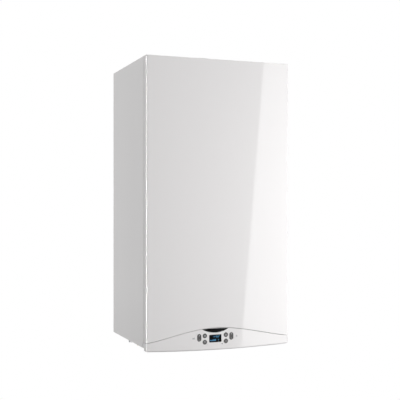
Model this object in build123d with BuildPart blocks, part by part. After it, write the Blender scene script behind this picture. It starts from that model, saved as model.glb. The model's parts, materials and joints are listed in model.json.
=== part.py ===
"""Wall-hung condensing gas boiler, in millimetres.

X runs from left to right as seen from the room, Y from the room (negative) to the wall (zero), Z up.
The origin is on the wall face, midway between the two wall screws that carry the boiler.
"""

import os

from build123d import *

os.makedirs("parts", exist_ok=True)

# Casing
casing_width = 400.0
casing_height = 745.0
casing_depth = 319.0
sheet = 1.2
flange = 14.0
cover_depth = 18.0
cover_proud = 1.5
cover_gap = 2.0
corner_radius = 4.0
top_radius = 1.0
screw_drop = 60.0

# Clearances and the overrun of every through cut
seat = 0.3
bore_play = 0.05
hole_play = 0.6
cut = 1.0

# Wall bracket and the frame that hangs on it
bracket_width = 300.0
bracket_height = 40.0
bracket_sheet = 2.5
wall_screw_spacing = 240.0
wall_slot_length = 18.0
wall_slot_width = 9.0
hook_spacing = 160.0
hook_width = 30.0
hook_lip = 12.0
hook_play = 2.0
back_gap = 10.0
rib_width = 24.0
rib_depth = 4.0
rib_inset = 33.8

# Top hooks of the front cover
cover_hook_spacing = 300.0
cover_hook_width = 24.0
cover_hook_reach = 8.0
cover_hook_lip = 3.5
cover_hook_slot_top = 1.8

# Studs that hold the foot of the front cover in sprung clips
stud_rise = 80.0
stud_radius = 3.0
stud_play = 0.6
stud_foot = 3.0
stud_foot_radius = 4.8
clip_width = 11.0
clip_height = 18.0
clip_depth = 9.0

# Foam sheet inside the front cover
foam_thickness = 5.0
foam_inset = 24.0
foam_foot = 70.0
foam_corner = 12.0
cover_room = 13.3

# Seam between the front cover and the control fascia: an arch above the controls
seam_base = 22.0
seam_rise = 31.0
seam_gap = 1.2
seam_flange = 8.0
seam_lap = 3.0
seam_shares = [(1.0, 0.0), (0.82, 0.18), (0.62, 0.45), (0.3, 0.84)]
panel_centre = -11.5

# Control fascia
fascia_drop = 7.0
fascia_sag = 5.3
fascia_wall = 2.5
fascia_edge_radius = 3.6
cheek_depth = 40.0
cheek_gap = 2.0
boss_radius = 3.5
boss_middle = 75.0
boss_inset = 34.0

# Controls, as heights above the fascia's lower corners and distances from their own centre
display_width = 35.0
display_height = 20.0
display_rise = 24.8
display_corner = 2.0
display_lip = 1.5
lens_thickness = 2.0
control_play = 0.3
button_diameter = 12.4
button_pitch_x = 59.0
button_pitch_y = 16.4
button_proud = 0.8
button_flange = 0.9
button_flange_thickness = 1.2
button_stem = 4.0
button_travel = 1.0
key_edge = 0.55
rocker_width = 12.0
rocker_height = 19.8
rocker_pitch = 90.0
rocker_rise = 28.8
rocker_play = 0.5
rocker_set_back = 0.9
rocker_stem_spacing = 10.0
rocker_pin_radius = 0.6
rocker_rib = 1.2
rocker_rib_gap = 0.6
rocker_rib_height = 4.0
rocker_rib_back = 2.0
rocker_rib_mouth = 0.9
badge_width = 74.0
badge_rise = 50.0
badge_belly = 10.0
badge_crown = 1.4
badge_thickness = 0.6
badge_pocket = 0.6

# Control box behind the fascia, and the pivots it folds down on
box_side_room = 14.8
box_rear_room = 19.8
box_height = 40.0
box_wall = 2.0
box_floor_gap = 1.0
box_setback = 19.0
pivot_radius = 4.0
pivot_rise = 9.0
pivot_behind = 5.0
pivot_ear = 8.0
pivot_pin = 10.0
pivot_bracket_gap = 1.5
pivot_bracket_size = 24.0
post_radius = 2.5
post_inset = 6.0
vent_slot_count = 9
vent_slot_width = 4.0
vent_slot_pitch = 14.0
vent_slot_length_share = 0.3
vent_slot_row_share = 0.44
cable_window_width = 60.0
cable_window_height = 14.0
lid_lip = 4.0
lid_lip_wall = 1.6

# Boards in the control box and what is soldered on them
board_thickness = 1.6
board_rise = 6.0
board_side_room = 34.0
board_end_room = 15.0
display_board_width = 112.0
display_board_height = 30.0
display_board_stand = 4.0
switch_size = 6.0
switch_height = 4.3
transformer_size = (42.0, 36.0, 24.0)
transformer_share = 0.36
relay_size = (28.0, 12.0, 15.0)
relay_pitch = 18.0
relay_count = 3
relay_share = 0.12
socket_size = (20.0, 8.0, 11.0)
socket_pitch = 32.0
socket_count = 8
capacitor_radius = 6.0
capacitor_height = 20.0
capacitor_pitch = 18.0
capacitor_share = -0.2

# Flue and air intake in the top panel
flue_place_share = 0.4432
flue_radius = 30.2
flue_wall = 1.5
flue_rise = 24.0
collar_radius = 50.0
collar_wall = 1.6
collar_flange = 22.0
collar_flange_thickness = 3.0
collar_drop = 20.0
test_cap_radius = 6.0
test_cap_height = 7.0
test_cap_inset = 2.4
test_cap_edge = 1.0
blank_gap = 4.0
blank_side_room = 14.8
blank_lap = 12.0
blank_thickness = 1.5

# Expansion vessel
vessel_side_room = 48.8
vessel_thickness = 78.0
vessel_seam = 5.0
vessel_pad_share = 0.45
vessel_above_middle = 127.5
bridge_sheet = 2.0
bridge_height = 60.0

# Condensing heat exchanger and burner door
exchanger_x = -50.0
exchanger_above_middle = 127.5
exchanger_radius = 105.0
exchanger_rib = 3.0
exchanger_rib_pitch = 12.0
nipple_spread = 70.0
nipple_drop = 15.0
duct_radius = 34.0
duct_rise = 122.0
sump_radius = 16.0
door_radius = 84.0
door_thickness = 12.0
door_nut_count = 6
door_nut_size = 10.0
door_nut_height = 8.0
door_nut_ring_share = 0.88
inlet_width = 52.0
inlet_height = 46.0
inlet_depth = 30.0
inlet_reach = 7.0
electrode_radius = 5.0
electrode_length = 34.0
electrode_drop = 28.0
electrode_flange_width = 15.0
electrode_flange_length = 30.0
electrode_flange_thickness = 2.0

# Fan, mixer and gas valve
fan_side_room = 12.8
fan_above_middle = 127.5
fan_radius = 58.0
fan_wall = 2.5
fan_inlet = 25.0
fan_play = 3.0
fan_shaft = 3.0
blade_count = 10
blade_thickness = 1.6
blade_lean = 35.0
blade_middle_share = 0.66
blade_length_share = 0.5
hub_radius = 9.0
impeller_gap = 0.9
shaft_reach = 20.0
motor_radius = 34.0
motor_length = 36.0
motor_edge = 4.0
mixer_length = 34.0
mixer_wall = 4.0
gas_valve_width = 60.0
gas_valve_depth = 70.0
gas_valve_height = 76.0
gas_valve_drop = 200.0
gas_valve_set_back = 89.0
gas_valve_edge = 6.0
head_radius = 13.0
head_length = 12.0
head_pitch = 30.0
gas_pipe_radius = 7.5
gas_pipe_bend = 20.0
gas_level_drop = 48.0
gas_outlet_run = 22.0
gas_mixer_run = 30.0

# Unions below the bottom tray
union_side_room = 64.8
union_from_wall = 60.0
stub_length = 32.0
union_upper = 22.0
thread_large = 13.2
thread_small = 10.5
union_wall = 3.5
union_collar = 3.0
union_shank_step = 1.0
nut_height = 8.0
nut_lap = 3.5

# Hydraulic blocks, plate heat exchanger, pump
block_width = 52.0
block_depth = 100.0
block_height = 88.0
block_front = 138.0
block_edge = 8.0
neck_radius = 16.0
neck_height = 10.0
plate_count = 14
plate_pitch = 3.6
plate_step = 2.0
plate_depth = 62.0
plate_rise = 34.0
plate_front = 140.0
end_plate = 3.0
water_pipe_radius = 9.0
water_pipe_bend = 14.0
flow_run = 24.0
return_run = 48.0
tail_radius = 6.5
tail_bend_share = 0.6
pump_radius = 42.0
pump_body_length = 38.0
pump_motor_length = 78.0
pump_motor_edge = 7.0
pump_wall = 3.0
pump_shaft = 3.0
pump_from_wall = 60.0
impeller_thickness = 14.0
pump_hub_radius = 6.0
vane_count = 6
vane_middle_share = 0.6
vane_length_share = 0.6
diverter_size = 44.0
diverter_length = 52.0
diverter_corner = 7.0
diverter_rise = 60.0
relief_radius = 13.0
relief_length = 34.0
relief_cap_radius = 15.0
relief_rise = 92.0
vent_radius = 15.0
vent_height = 46.0
vent_edge = 4.0
vent_neck_radius = 7.5
vent_neck_height = 32.0
vent_place_share = 0.4
vent_seat_share = 0.9

# Condensate trap
trap_side_room = 21.8
trap_from_wall = 172.0
trap_radius = 19.0
trap_rise = 78.0
trap_height = 150.0
trap_band = 1.5
trap_band_rise = 50.0
trap_band_height = 15.0
condensate_radius = 10.5
condensate_wall = 2.0
condensate_from_wall = 118.0
condensate_bend = 16.0
condensate_stub = 12.0
hose_radius = 9.0
hose_bend = 20.0
hose_run = 32.0

# Bottom tray, filling tap and cable glands
tray_depth = 134.0
tap_beside_union = 38.0
tap_from_wall = 112.0
tap_radius = 7.0
tap_length = 12.0
tap_pin = 4.0
tap_pin_length = 11.0
tap_flange = 2.5
tap_flange_radius = 11.0
knob_radius = 13.0
knob_height = 16.0
knob_lobes = 8
knob_groove = 2.6
knob_bore_depth = 12.5
gland_side_room = 30.8
gland_radius = 8.0
gland_height = 10.0
gland_hole = 4.0
gland_thread = 6.4
gland_pitch = 24.0

# Places that follow from the sizes above
half_width = casing_width / 2
inner_half = half_width - sheet
casing_top = screw_drop
casing_bottom = casing_top - casing_height
casing_middle = (casing_top + casing_bottom) / 2
fascia_bottom = casing_bottom - fascia_drop
cover_back = casing_depth - cover_depth
cover_front = casing_depth + cover_proud
cover_inside = cover_front - sheet
body_front = cover_back - cover_gap
frame_face = back_gap + sheet
tray_front = frame_face + tray_depth
box_front = casing_depth - box_setback
box_back = tray_front + box_rear_room
box_depth = box_front - box_back
box_half_width = inner_half - box_side_room
vessel_radius = inner_half - vessel_side_room
vessel_front = frame_face + vessel_thickness
bridge_front = vessel_front + seat + bridge_sheet
foam_back = casing_depth - sheet - foam_thickness
door_front = foam_back - cover_room - mixer_length - inlet_depth
exchanger_front = door_front - door_thickness
exchanger_length = exchanger_front - bridge_front
flue_y = -bridge_front - exchanger_length * flue_place_share
blank_outer = (inner_half - collar_radius - collar_flange - blank_gap - blank_side_room) / 2
blank_radius = blank_outer - blank_lap
blank_x = blank_outer + blank_side_room - inner_half
fan_x = inner_half - fan_side_room - fan_radius
union_pitch = (inner_half - union_side_room) / 2
tap_x = 2 * union_pitch - tap_beside_union
trap_x = trap_side_room - inner_half
gland_x = inner_half - gland_side_room
up = (Align.CENTER, Align.CENTER, Align.MIN)


def seam_points(half, shift):
    """Points of the seam from left to right, its apex over the controls."""
    base = fascia_bottom + seam_base + shift
    left = [(panel_centre - s * (half + panel_centre), base + seam_rise * h) for s, h in seam_shares]
    right = [(panel_centre + s * (half - panel_centre), base + seam_rise * h) for s, h in seam_shares]
    return [*left, (panel_centre, base + seam_rise), *reversed(right)]


def span_box(x, y, z, mode=Mode.ADD):
    """Add to the part being built, or cut from it, a box given by its low and high x, y and z."""
    with Locations(((x[0] + x[1]) / 2, (y[0] + y[1]) / 2, (z[0] + z[1]) / 2)):
        Box(x[1] - x[0], y[1] - y[0], z[1] - z[0], mode=mode)


# Wall bracket: a galvanised strip with two slots for the wall screws and two upturned hooks
hook_top = bracket_height / 2
hook_front = frame_face + hook_play + bracket_sheet

with BuildPart() as wall_bracket:
    with BuildSketch(Plane.XZ):
        Rectangle(bracket_width, bracket_height)
        with Locations((-wall_screw_spacing / 2, 0), (wall_screw_spacing / 2, 0)):
            SlotOverall(wall_slot_length, wall_slot_width, mode=Mode.SUBTRACT)
    extrude(amount=bracket_sheet)
    for x in (-hook_spacing / 2, hook_spacing / 2):
        with BuildSketch(Plane.YZ.offset(x)):
            Polygon(
                (-bracket_sheet, hook_top - bracket_sheet),
                (-hook_front, hook_top - bracket_sheet),
                (-hook_front, hook_top + hook_lip),
                (bracket_sheet - hook_front, hook_top + hook_lip),
                (bracket_sheet - hook_front, hook_top),
                (-bracket_sheet, hook_top),
                align=None,
            )
        extrude(amount=hook_width / 2, both=True)
wall_bracket.part.label = "wall_bracket"
export_step(wall_bracket.part, "parts/wall_bracket.step")

# Back frame: a sheet pan with its rim against the wall, hooked over the bracket through two slots
slot_height = hook_lip + bracket_sheet + hook_play

with BuildPart() as back_frame:
    with BuildSketch(Plane.XZ):
        with Locations((0, casing_middle)):
            Rectangle(2 * inner_half, casing_height)
    extrude(amount=frame_face)
    with BuildSketch(Plane.XZ):
        with Locations((0, casing_middle)):
            Rectangle(2 * (inner_half - sheet), casing_height - 2 * sheet)
    extrude(amount=back_gap, mode=Mode.SUBTRACT)
    with BuildSketch(Plane.XZ.offset(back_gap)):
        for x in (-hook_spacing / 2, hook_spacing / 2):
            with Locations((x, hook_top - slot_height / 2)):
                Rectangle(hook_width + 2 * hook_play, slot_height)
    extrude(amount=sheet, mode=Mode.SUBTRACT)
    with BuildSketch(Plane.XZ.offset(back_gap)):
        with Locations((rib_inset - inner_half, casing_middle), (inner_half - rib_inset, casing_middle)):
            SlotOverall(casing_height - 4 * rib_width, rib_width, rotation=90)
    extrude(amount=-rib_depth)
back_frame.part.label = "back_frame"
export_step(back_frame.part, "parts/back_frame.step")

# Side panels: sheets with an inward front flange, cut aslant at the foot for the fascia's cheeks
notch_back = casing_depth - cheek_depth - cheek_gap
notch_top = fascia_bottom + seam_base + seam_gap / 2
clip_back = body_front - sheet - clip_depth
stud_spots = [(i * (half_width - flange / 2), casing_bottom + stud_rise) for i in (-1, 1)]


def side_panel(side):
    """The side panel on the left (-1) or the right (1)."""
    with BuildPart() as panel:
        with BuildSketch(Plane.YZ.offset(side * half_width)):
            Polygon(
                (0, casing_bottom),
                (-notch_back, casing_bottom),
                (-body_front, notch_top),
                (-body_front, casing_top),
                (0, casing_top),
                align=None,
            )
        extrude(amount=-side * sheet)
        x = sorted((side * inner_half, side * (half_width - flange)))
        span_box(x, (-body_front, sheet - body_front), (notch_top, casing_top - flange))
        with BuildSketch(Plane.XZ.offset(body_front - sheet)):
            with Locations(*stud_spots):
                Circle(stud_radius + 2 * stud_play)
        extrude(amount=sheet, mode=Mode.SUBTRACT)
    return panel.part


side_panel_left = side_panel(-1)
side_panel_left.label = "side_panel_left"
export_step(side_panel_left, "parts/side_panel_left.step")
side_panel_right = side_panel(1)
side_panel_right.label = "side_panel_right"
export_step(side_panel_right, "parts/side_panel_right.step")

# Top panel: a shallow pan with the flue hole, the blanked intake hole and slots for the cover's hooks
collar_hole = collar_radius + hole_play
slot_top = casing_top - cover_hook_slot_top
slot_bottom = slot_top - cover_hook_lip - sheet - 3 * seat

with BuildPart() as top_panel:
    span_box((-inner_half, inner_half), (-body_front, -frame_face), (casing_top - flange, casing_top))
    with BuildSketch(Plane.XY.offset(casing_top - flange)):
        with Locations((0, -(body_front + frame_face) / 2)):
            Rectangle(2 * (inner_half - sheet), body_front - frame_face - 2 * sheet)
    extrude(amount=flange - sheet, mode=Mode.SUBTRACT)
    with Locations((0, flue_y, casing_top)):
        Hole(collar_hole, depth=sheet)
    with Locations((blank_x, flue_y, casing_top)):
        Hole(blank_radius, depth=sheet)
    for x in (-cover_hook_spacing / 2, cover_hook_spacing / 2):
        half = cover_hook_width / 2 + hook_play
        through = (-body_front - cut, sheet - body_front + cut)
        span_box((x - half, x + half), through, (slot_bottom, slot_top), Mode.SUBTRACT)
top_panel.part.label = "top_panel"
export_step(top_panel.part, "parts/top_panel.step")


def cover_block(inset, shift, front, back, radius, crown):
    """A block with the front cover's outline, drawn in by inset, between two distances from the wall."""
    half = half_width - inset
    with BuildPart() as made:
        with BuildSketch(Plane.XZ.offset(back)):
            with BuildLine():
                lower = Spline(*seam_points(half, shift))
                Polyline(lower @ 1, (half, casing_top - inset), (-half, casing_top - inset), lower @ 0)
            make_face()
        extrude(amount=front - back)
        fillet(made.edges().filter_by(Axis.Z).group_by(Axis.Y)[0], radius)
        if crown:
            fillet(made.faces().sort_by(Axis.Z)[-1].edges().group_by(Axis.Y)[0], crown)
    return made.part


def lap_block(front, back, radius):
    """The room below the flange at the cover's foot, in which only the front sheet is left."""
    with BuildPart() as made:
        add(cover_block(sheet, seam_gap / 2 - seam_lap, front, back, radius, 0))
        add(
            cover_block(0, seam_gap / 2 + seam_lap, front + cut, back - cut, radius, 0),
            mode=Mode.SUBTRACT,
        )
    return made.part


# Front cover: a white sheet pan, a little proud of the fascia, with rounded upright edges and an open back. Its
# foot follows the seam, with a flange set up from the sheet's edge. Hooks at its top go into the slots of the
# top panel, and two welded studs near its foot go into the clips.
hook_back = cover_back - cover_hook_reach
hook_low = slot_bottom + seat
hook_high = hook_low + sheet

with BuildPart() as front_cover:
    add(cover_block(0, seam_gap / 2, cover_front, cover_back, corner_radius, top_radius))
    core_shift = seam_gap / 2 + seam_lap + sheet
    pan_radius = corner_radius - sheet
    add(cover_block(sheet, core_shift, cover_inside, cover_back, pan_radius, 0), mode=Mode.SUBTRACT)
    add(lap_block(cover_inside, cover_back, pan_radius), mode=Mode.SUBTRACT)
    relief_back = casing_depth - seam_flange
    with BuildSketch(Plane.XZ.offset(cover_back)):
        Polygon(
            (-inner_half, notch_top - seam_base),
            (inner_half, notch_top - seam_base),
            (inner_half, notch_top + seam_rise + flange),
            (-inner_half, notch_top + seam_rise + flange),
            align=None,
        )
    extrude(amount=relief_back - cover_back, mode=Mode.SUBTRACT)
    for x in (-cover_hook_spacing / 2, cover_hook_spacing / 2):
        span = (x - cover_hook_width / 2, x + cover_hook_width / 2)
        span_box(span, (-cover_back - sheet, -cover_back), (hook_low, casing_top - sheet))
        span_box(span, (-cover_back, -hook_back), (hook_low, hook_high))
        span_box(span, (-hook_back - sheet, -hook_back), (hook_low - cover_hook_lip, hook_high))
    with BuildSketch(Plane.XZ.offset(clip_back)):
        with Locations(*stud_spots):
            Circle(stud_radius)
    extrude(amount=cover_inside - clip_back)
    with BuildSketch(Plane.XZ.offset(cover_inside - stud_foot)):
        with Locations(*stud_spots):
            Circle(stud_foot_radius)
    extrude(amount=stud_foot)
front_cover.part.label = "front_cover"
export_step(front_cover.part, "parts/front_cover.step")

# Cover insulation: a foam sheet glued inside the front cover
with BuildPart() as cover_insulation:
    with BuildSketch(Plane.XZ.offset(cover_inside - foam_thickness)):
        foam_low = notch_top + foam_foot
        foam_high = casing_top - foam_inset
        with Locations((0, (foam_low + foam_high) / 2)):
            RectangleRounded(casing_width - 2 * foam_inset, foam_high - foam_low, foam_corner)
    extrude(amount=foam_thickness)
cover_insulation.part.label = "cover_insulation"
export_step(cover_insulation.part, "parts/cover_insulation.step")


def fascia_block(inset, front, back, radius, edge):
    """A block with the control fascia's outline, drawn in by inset, between two distances from the wall."""
    half = half_width - inset
    with BuildPart() as made:
        with BuildSketch(Plane.XZ.offset(back)):
            with BuildLine():
                upper = Spline(*seam_points(half, -seam_gap / 2 - inset))
                foot = fascia_bottom + inset
                lower = ThreePointArc((half, foot), (0, foot - fascia_sag), (-half, foot))
                Line(upper @ 1, lower @ 0)
                Line(lower @ 1, upper @ 0)
            make_face()
        extrude(amount=front - back)
        fillet(made.edges().filter_by(Axis.Z).group_by(Axis.Y)[0], radius)
        fillet(made.faces().sort_by(Axis.Z)[0].edges().group_by(Axis.Y)[0], edge)
    return made.part


# Control fascia: one moulding with an arched top, a sagging foot, slanted cheeks on both sides, its openings,
# screw bosses to the control box and slotted ribs that the rockers' pins snap into
cheek_back = casing_depth - cheek_depth
cheek_top = notch_top - seam_gap
fascia_back = casing_depth - fascia_wall
controls_z = fascia_bottom + display_rise
rocker_z = fascia_bottom + rocker_rise
button_spots = [
    (panel_centre + i * button_pitch_x / 2, controls_z + j * button_pitch_y / 2)
    for j in (1, -1)
    for i in (-1, 1)
]
rocker_spots = [(panel_centre + i * rocker_pitch / 2, rocker_z) for i in (-1, 1)]
rocker_lip_front = fascia_back - rocker_set_back
rocker_lip_back = rocker_lip_front - button_flange_thickness
rocker_pin_y = -(rocker_lip_front + rocker_lip_back) / 2
rocker_rib_x = rocker_width / 2 + button_flange + rocker_rib_gap
boss_outer = box_half_width - boss_inset
boss_spots = [(x, controls_z) for x in (-boss_outer, -boss_middle, boss_middle, boss_outer)]
rib_low = rocker_pin_y + rocker_rib_back
badge_z = fascia_bottom + badge_rise


# The badge's lens: a flat arc over a deeper one
with BuildSketch(Plane.XZ.offset(casing_depth - badge_pocket)) as badge_outline:
    with BuildLine():
        crown = ThreePointArc(
            (panel_centre - badge_width / 2, badge_z),
            (panel_centre, badge_z + badge_crown),
            (panel_centre + badge_width / 2, badge_z),
        )
        ThreePointArc(crown @ 1, (panel_centre, badge_z - badge_belly), crown @ 0)
    make_face()

with BuildPart() as control_fascia:
    add(fascia_block(0, casing_depth, cheek_back, corner_radius, fascia_edge_radius))
    core_edge = fascia_edge_radius - fascia_wall
    core_radius = corner_radius - fascia_wall
    add(
        fascia_block(fascia_wall, fascia_back, cheek_back, core_radius, core_edge),
        mode=Mode.SUBTRACT,
    )
    with BuildSketch(Plane.XZ.offset(cheek_back)):
        with Locations((0, fascia_bottom)):
            Rectangle(2 * (half_width - fascia_wall), 4 * seam_rise)
    extrude(amount=box_front - cheek_back, mode=Mode.SUBTRACT)
    with BuildSketch(Plane.YZ):
        Polygon(
            (-box_front, casing_bottom),
            (-cheek_back + cut, casing_bottom),
            (-cheek_back + cut, fascia_bottom - 2 * fascia_sag),
            (-box_front, fascia_bottom - 2 * fascia_sag),
            align=None,
        )
        Polygon(
            (-box_front, cheek_top),
            (-cheek_back, casing_bottom),
            (-cheek_back + cut, casing_bottom),
            (-cheek_back + cut, cheek_top + 2 * seam_rise),
            (-box_front, cheek_top + 2 * seam_rise),
            align=None,
        )
    extrude(amount=half_width + cut, both=True, mode=Mode.SUBTRACT)
    with BuildSketch(Plane.XZ.offset(fascia_back)):
        with Locations((panel_centre, controls_z)):
            RectangleRounded(display_width, display_height, display_corner)
        with Locations(*button_spots):
            Circle(button_diameter / 2)
        with Locations(*rocker_spots):
            SlotOverall(rocker_height, rocker_width, rotation=90)
    extrude(amount=fascia_wall, mode=Mode.SUBTRACT)
    extrude(badge_outline.sketch, amount=badge_pocket, mode=Mode.SUBTRACT)
    with BuildSketch(Plane.XZ.offset(box_front)):
        with Locations(*boss_spots):
            Circle(boss_radius)
    extrude(amount=fascia_back - box_front)
    for x, side in [(spot[0], side) for spot in rocker_spots for side in (-1, 1)]:
        with BuildSketch(Plane.YZ.offset(x + side * rocker_rib_x)):
            with Locations(((rib_low - fascia_back) / 2, rocker_z)):
                Rectangle(fascia_back + rib_low, rocker_rib_height)
            with Locations((rocker_pin_y, rocker_z)):
                Circle(rocker_pin_radius + bore_play, mode=Mode.SUBTRACT)
            with Locations((rocker_pin_y + rocker_rib_back / 2, rocker_z)):
                Rectangle(rocker_rib_back, rocker_rib_mouth, mode=Mode.SUBTRACT)
        extrude(amount=side * rocker_rib)
control_fascia.part.label = "control_fascia"
export_step(control_fascia.part, "parts/control_fascia.step")

# Badge: a bare dark plate set into its pocket
with BuildPart() as badge_plate:
    extrude(badge_outline.sketch, amount=badge_thickness)
badge_plate.part.label = "badge_plate"
export_step(badge_plate.part, "parts/badge_plate.step")

# Display: a clear lens with a lip behind the fascia, over the display module on its board
board_front = box_front + display_board_stand + board_thickness
lens_back = fascia_back - display_lip

with BuildPart() as display_lens:
    with BuildSketch(Plane.XZ.offset(fascia_back)):
        with Locations((panel_centre, controls_z)):
            play = 2 * control_play
            RectangleRounded(display_width - play, display_height - play, display_corner - control_play)
    extrude(amount=lens_thickness)
    with BuildSketch(Plane.XZ.offset(lens_back)):
        with Locations((panel_centre, controls_z)):
            Rectangle(display_width + 2 * display_lip, display_height + 2 * display_lip)
    extrude(amount=display_lip)
display_lens.part.label = "display_lens"
export_step(display_lens.part, "parts/display_lens.step")

with BuildPart() as display_module:
    with BuildSketch(Plane.XZ.offset(board_front)):
        with Locations((panel_centre, controls_z)):
            Rectangle(display_width + 2 * display_lip, display_height + 2 * display_lip)
    extrude(amount=lens_back - board_front)
display_module.part.label = "display_module"
export_step(display_module.part, "parts/display_module.step")

# Display board: it stands on four posts of the control box and carries one switch under each key
switch_front = board_front + switch_height
rocker_switches = [(x, z + j * rocker_stem_spacing / 2) for x, z in rocker_spots for j in (-1, 1)]

with BuildPart() as display_board:
    with BuildSketch(Plane.XZ.offset(box_front + display_board_stand)):
        with Locations((panel_centre, controls_z)):
            Rectangle(display_board_width, display_board_height)
    extrude(amount=board_thickness)
    with BuildSketch(Plane.XZ.offset(board_front)):
        with Locations(*button_spots, *rocker_switches):
            Rectangle(switch_size, switch_size)
    extrude(amount=switch_height)
display_board.part.label = "display_board"
export_step(display_board.part, "parts/display_board.step")

# Round push buttons: a cap, a lip that stops behind the fascia, and a stem over the switch
button_names = ["button_upper_left", "button_upper_right", "button_lower_left", "button_lower_right"]
button_lip_front = fascia_back - seat
button_lip_back = button_lip_front - button_flange_thickness
cap_radius = button_diameter / 2 - control_play

for name, spot in zip(button_names, button_spots):
    with BuildPart() as push_button:
        with BuildSketch(Plane.XZ.offset(button_lip_front)):
            with Locations(spot):
                Circle(cap_radius)
        extrude(amount=casing_depth + button_proud - button_lip_front)
        fillet(push_button.faces().sort_by(Axis.Y)[0].edges(), key_edge)
        with BuildSketch(Plane.XZ.offset(button_lip_back)):
            with Locations(spot):
                Circle(button_diameter / 2 + button_flange)
        extrude(amount=button_flange_thickness)
        with BuildSketch(Plane.XZ.offset(switch_front + seat + button_travel)):
            with Locations(spot):
                Circle(button_stem / 2)
        extrude(until=Until.NEXT)
    push_button.part.label = name
    export_step(push_button.part, f"parts/{name}.step")

# Pill-shaped rocker keys: a cap, a lip and pins behind the fascia, and two stems, one over each switch
rocker_names = ["rocker_left", "rocker_right"]

for name, spot in zip(rocker_names, rocker_spots):
    with BuildPart() as rocker:
        with BuildSketch(Plane.XZ.offset(rocker_lip_front)):
            with Locations(spot):
                SlotOverall(rocker_height - 2 * rocker_play, rocker_width - 2 * rocker_play, rotation=90)
        extrude(amount=casing_depth + button_proud - rocker_lip_front)
        fillet(rocker.faces().sort_by(Axis.Y)[0].edges(), key_edge)
        with BuildSketch(Plane.XZ.offset(rocker_lip_back)):
            with Locations(spot):
                SlotOverall(rocker_height + 2 * button_flange, rocker_width + 2 * button_flange, rotation=90)
        extrude(amount=button_flange_thickness)
        with BuildSketch(Plane.XZ.offset(switch_front + 2 * seat)):
            with Locations(*[(spot[0], spot[1] + j * rocker_stem_spacing / 2) for j in (-1, 1)]):
                Circle(button_stem / 2)
        extrude(until=Until.NEXT)
        pin_half = rocker_rib_x + rocker_rib
        with BuildSketch(Plane.YZ.offset(spot[0])):
            with Locations((rocker_pin_y, rocker_z)):
                Circle(rocker_pin_radius)
        extrude(amount=pin_half, both=True)
    rocker.part.label = name
    export_step(rocker.part, f"parts/{name}.step")

# Control box: a tray behind the fascia, with ears and pins at its rear foot that it folds down on
box_bottom = casing_bottom + box_floor_gap
box_top = box_bottom + box_height
box_inner = box_half_width - box_wall
board_width = 2 * (box_half_width - board_side_room)
board_depth = box_depth - 2 * board_end_room
box_centre = -(box_front + box_back) / 2
pivot_y = pivot_behind - box_back
pivot_z = box_bottom + pivot_rise

with BuildPart() as control_box:
    with BuildSketch(Plane.XY.offset(box_bottom)):
        with Locations((0, box_centre)):
            Rectangle(2 * box_half_width, box_depth)
    extrude(amount=box_height)
    with BuildSketch(Plane.XY.offset(box_bottom + box_wall)):
        with Locations((0, box_centre)):
            Rectangle(2 * box_inner, box_depth - 2 * box_wall)
    extrude(amount=box_height - box_wall, mode=Mode.SUBTRACT)
    with BuildSketch(Plane.XY.offset(box_bottom)):
        with Locations((0, box_centre)):
            with GridLocations(vent_slot_pitch, box_depth * vent_slot_row_share, vent_slot_count, 2):
                SlotOverall(box_depth * vent_slot_length_share, vent_slot_width, rotation=90)
    extrude(amount=box_wall, mode=Mode.SUBTRACT)
    with BuildSketch(Plane.XZ.offset(box_front - box_wall)):
        with Locations((panel_centre, controls_z)):
            Rectangle(cable_window_width, cable_window_height)
    extrude(amount=box_wall, mode=Mode.SUBTRACT)
    with BuildSketch(Plane.XZ.offset(box_front)):
        with Locations((panel_centre, controls_z)):
            stand_x = display_board_width - 2 * post_inset
            stand_z = display_board_height - 2 * post_inset
            with GridLocations(stand_x, stand_z, 2, 2):
                Circle(post_radius)
    extrude(amount=display_board_stand)
    with BuildSketch(Plane.XY.offset(box_bottom + box_wall)):
        with Locations((0, box_centre)):
            with GridLocations(board_width - 2 * post_inset, board_depth - 2 * post_inset, 2, 2):
                Circle(post_radius)
    extrude(amount=board_rise)
    for side in (-1, 1):
        with BuildSketch(Plane.YZ.offset(side * box_half_width)):
            with Locations((pivot_y, pivot_z)):
                Circle(pivot_ear)
            with Locations((-(box_back - pivot_y) / 2, pivot_z)):
                Rectangle(box_back + pivot_y, 2 * pivot_ear)
        extrude(amount=-side * box_wall)
        with BuildSketch(Plane.YZ.offset(side * box_half_width)):
            with Locations((pivot_y, pivot_z)):
                Circle(pivot_radius)
        extrude(amount=side * pivot_pin)
control_box.part.label = "control_box"
export_step(control_box.part, "parts/control_box.step")

# Lid of the control box: a plate with a lip that drops inside the walls
with BuildPart() as control_box_lid:
    with BuildSketch(Plane.XY.offset(box_top)):
        with Locations((0, box_centre)):
            Rectangle(2 * box_half_width, box_depth)
    extrude(amount=box_wall)
    lip_half = box_inner - seat
    lip_deep = box_depth - 2 * (box_wall + seat)
    with BuildSketch(Plane.XY.offset(box_top - lid_lip)):
        with Locations((0, box_centre)):
            Rectangle(2 * lip_half, lip_deep)
            Rectangle(2 * (lip_half - lid_lip_wall), lip_deep - 2 * lid_lip_wall, mode=Mode.SUBTRACT)
    extrude(amount=lid_lip)
control_box_lid.part.label = "control_box_lid"
export_step(control_box_lid.part, "parts/control_box_lid.step")

# Main board and the parts soldered on it
board_bottom = box_bottom + box_wall + board_rise
board_top = board_bottom + board_thickness

with BuildPart() as main_board:
    with BuildSketch(Plane.XY.offset(board_bottom)):
        with Locations((0, box_centre)):
            Rectangle(board_width, board_depth)
    extrude(amount=board_thickness)
main_board.part.label = "main_board"
export_step(main_board.part, "parts/main_board.step")

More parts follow.
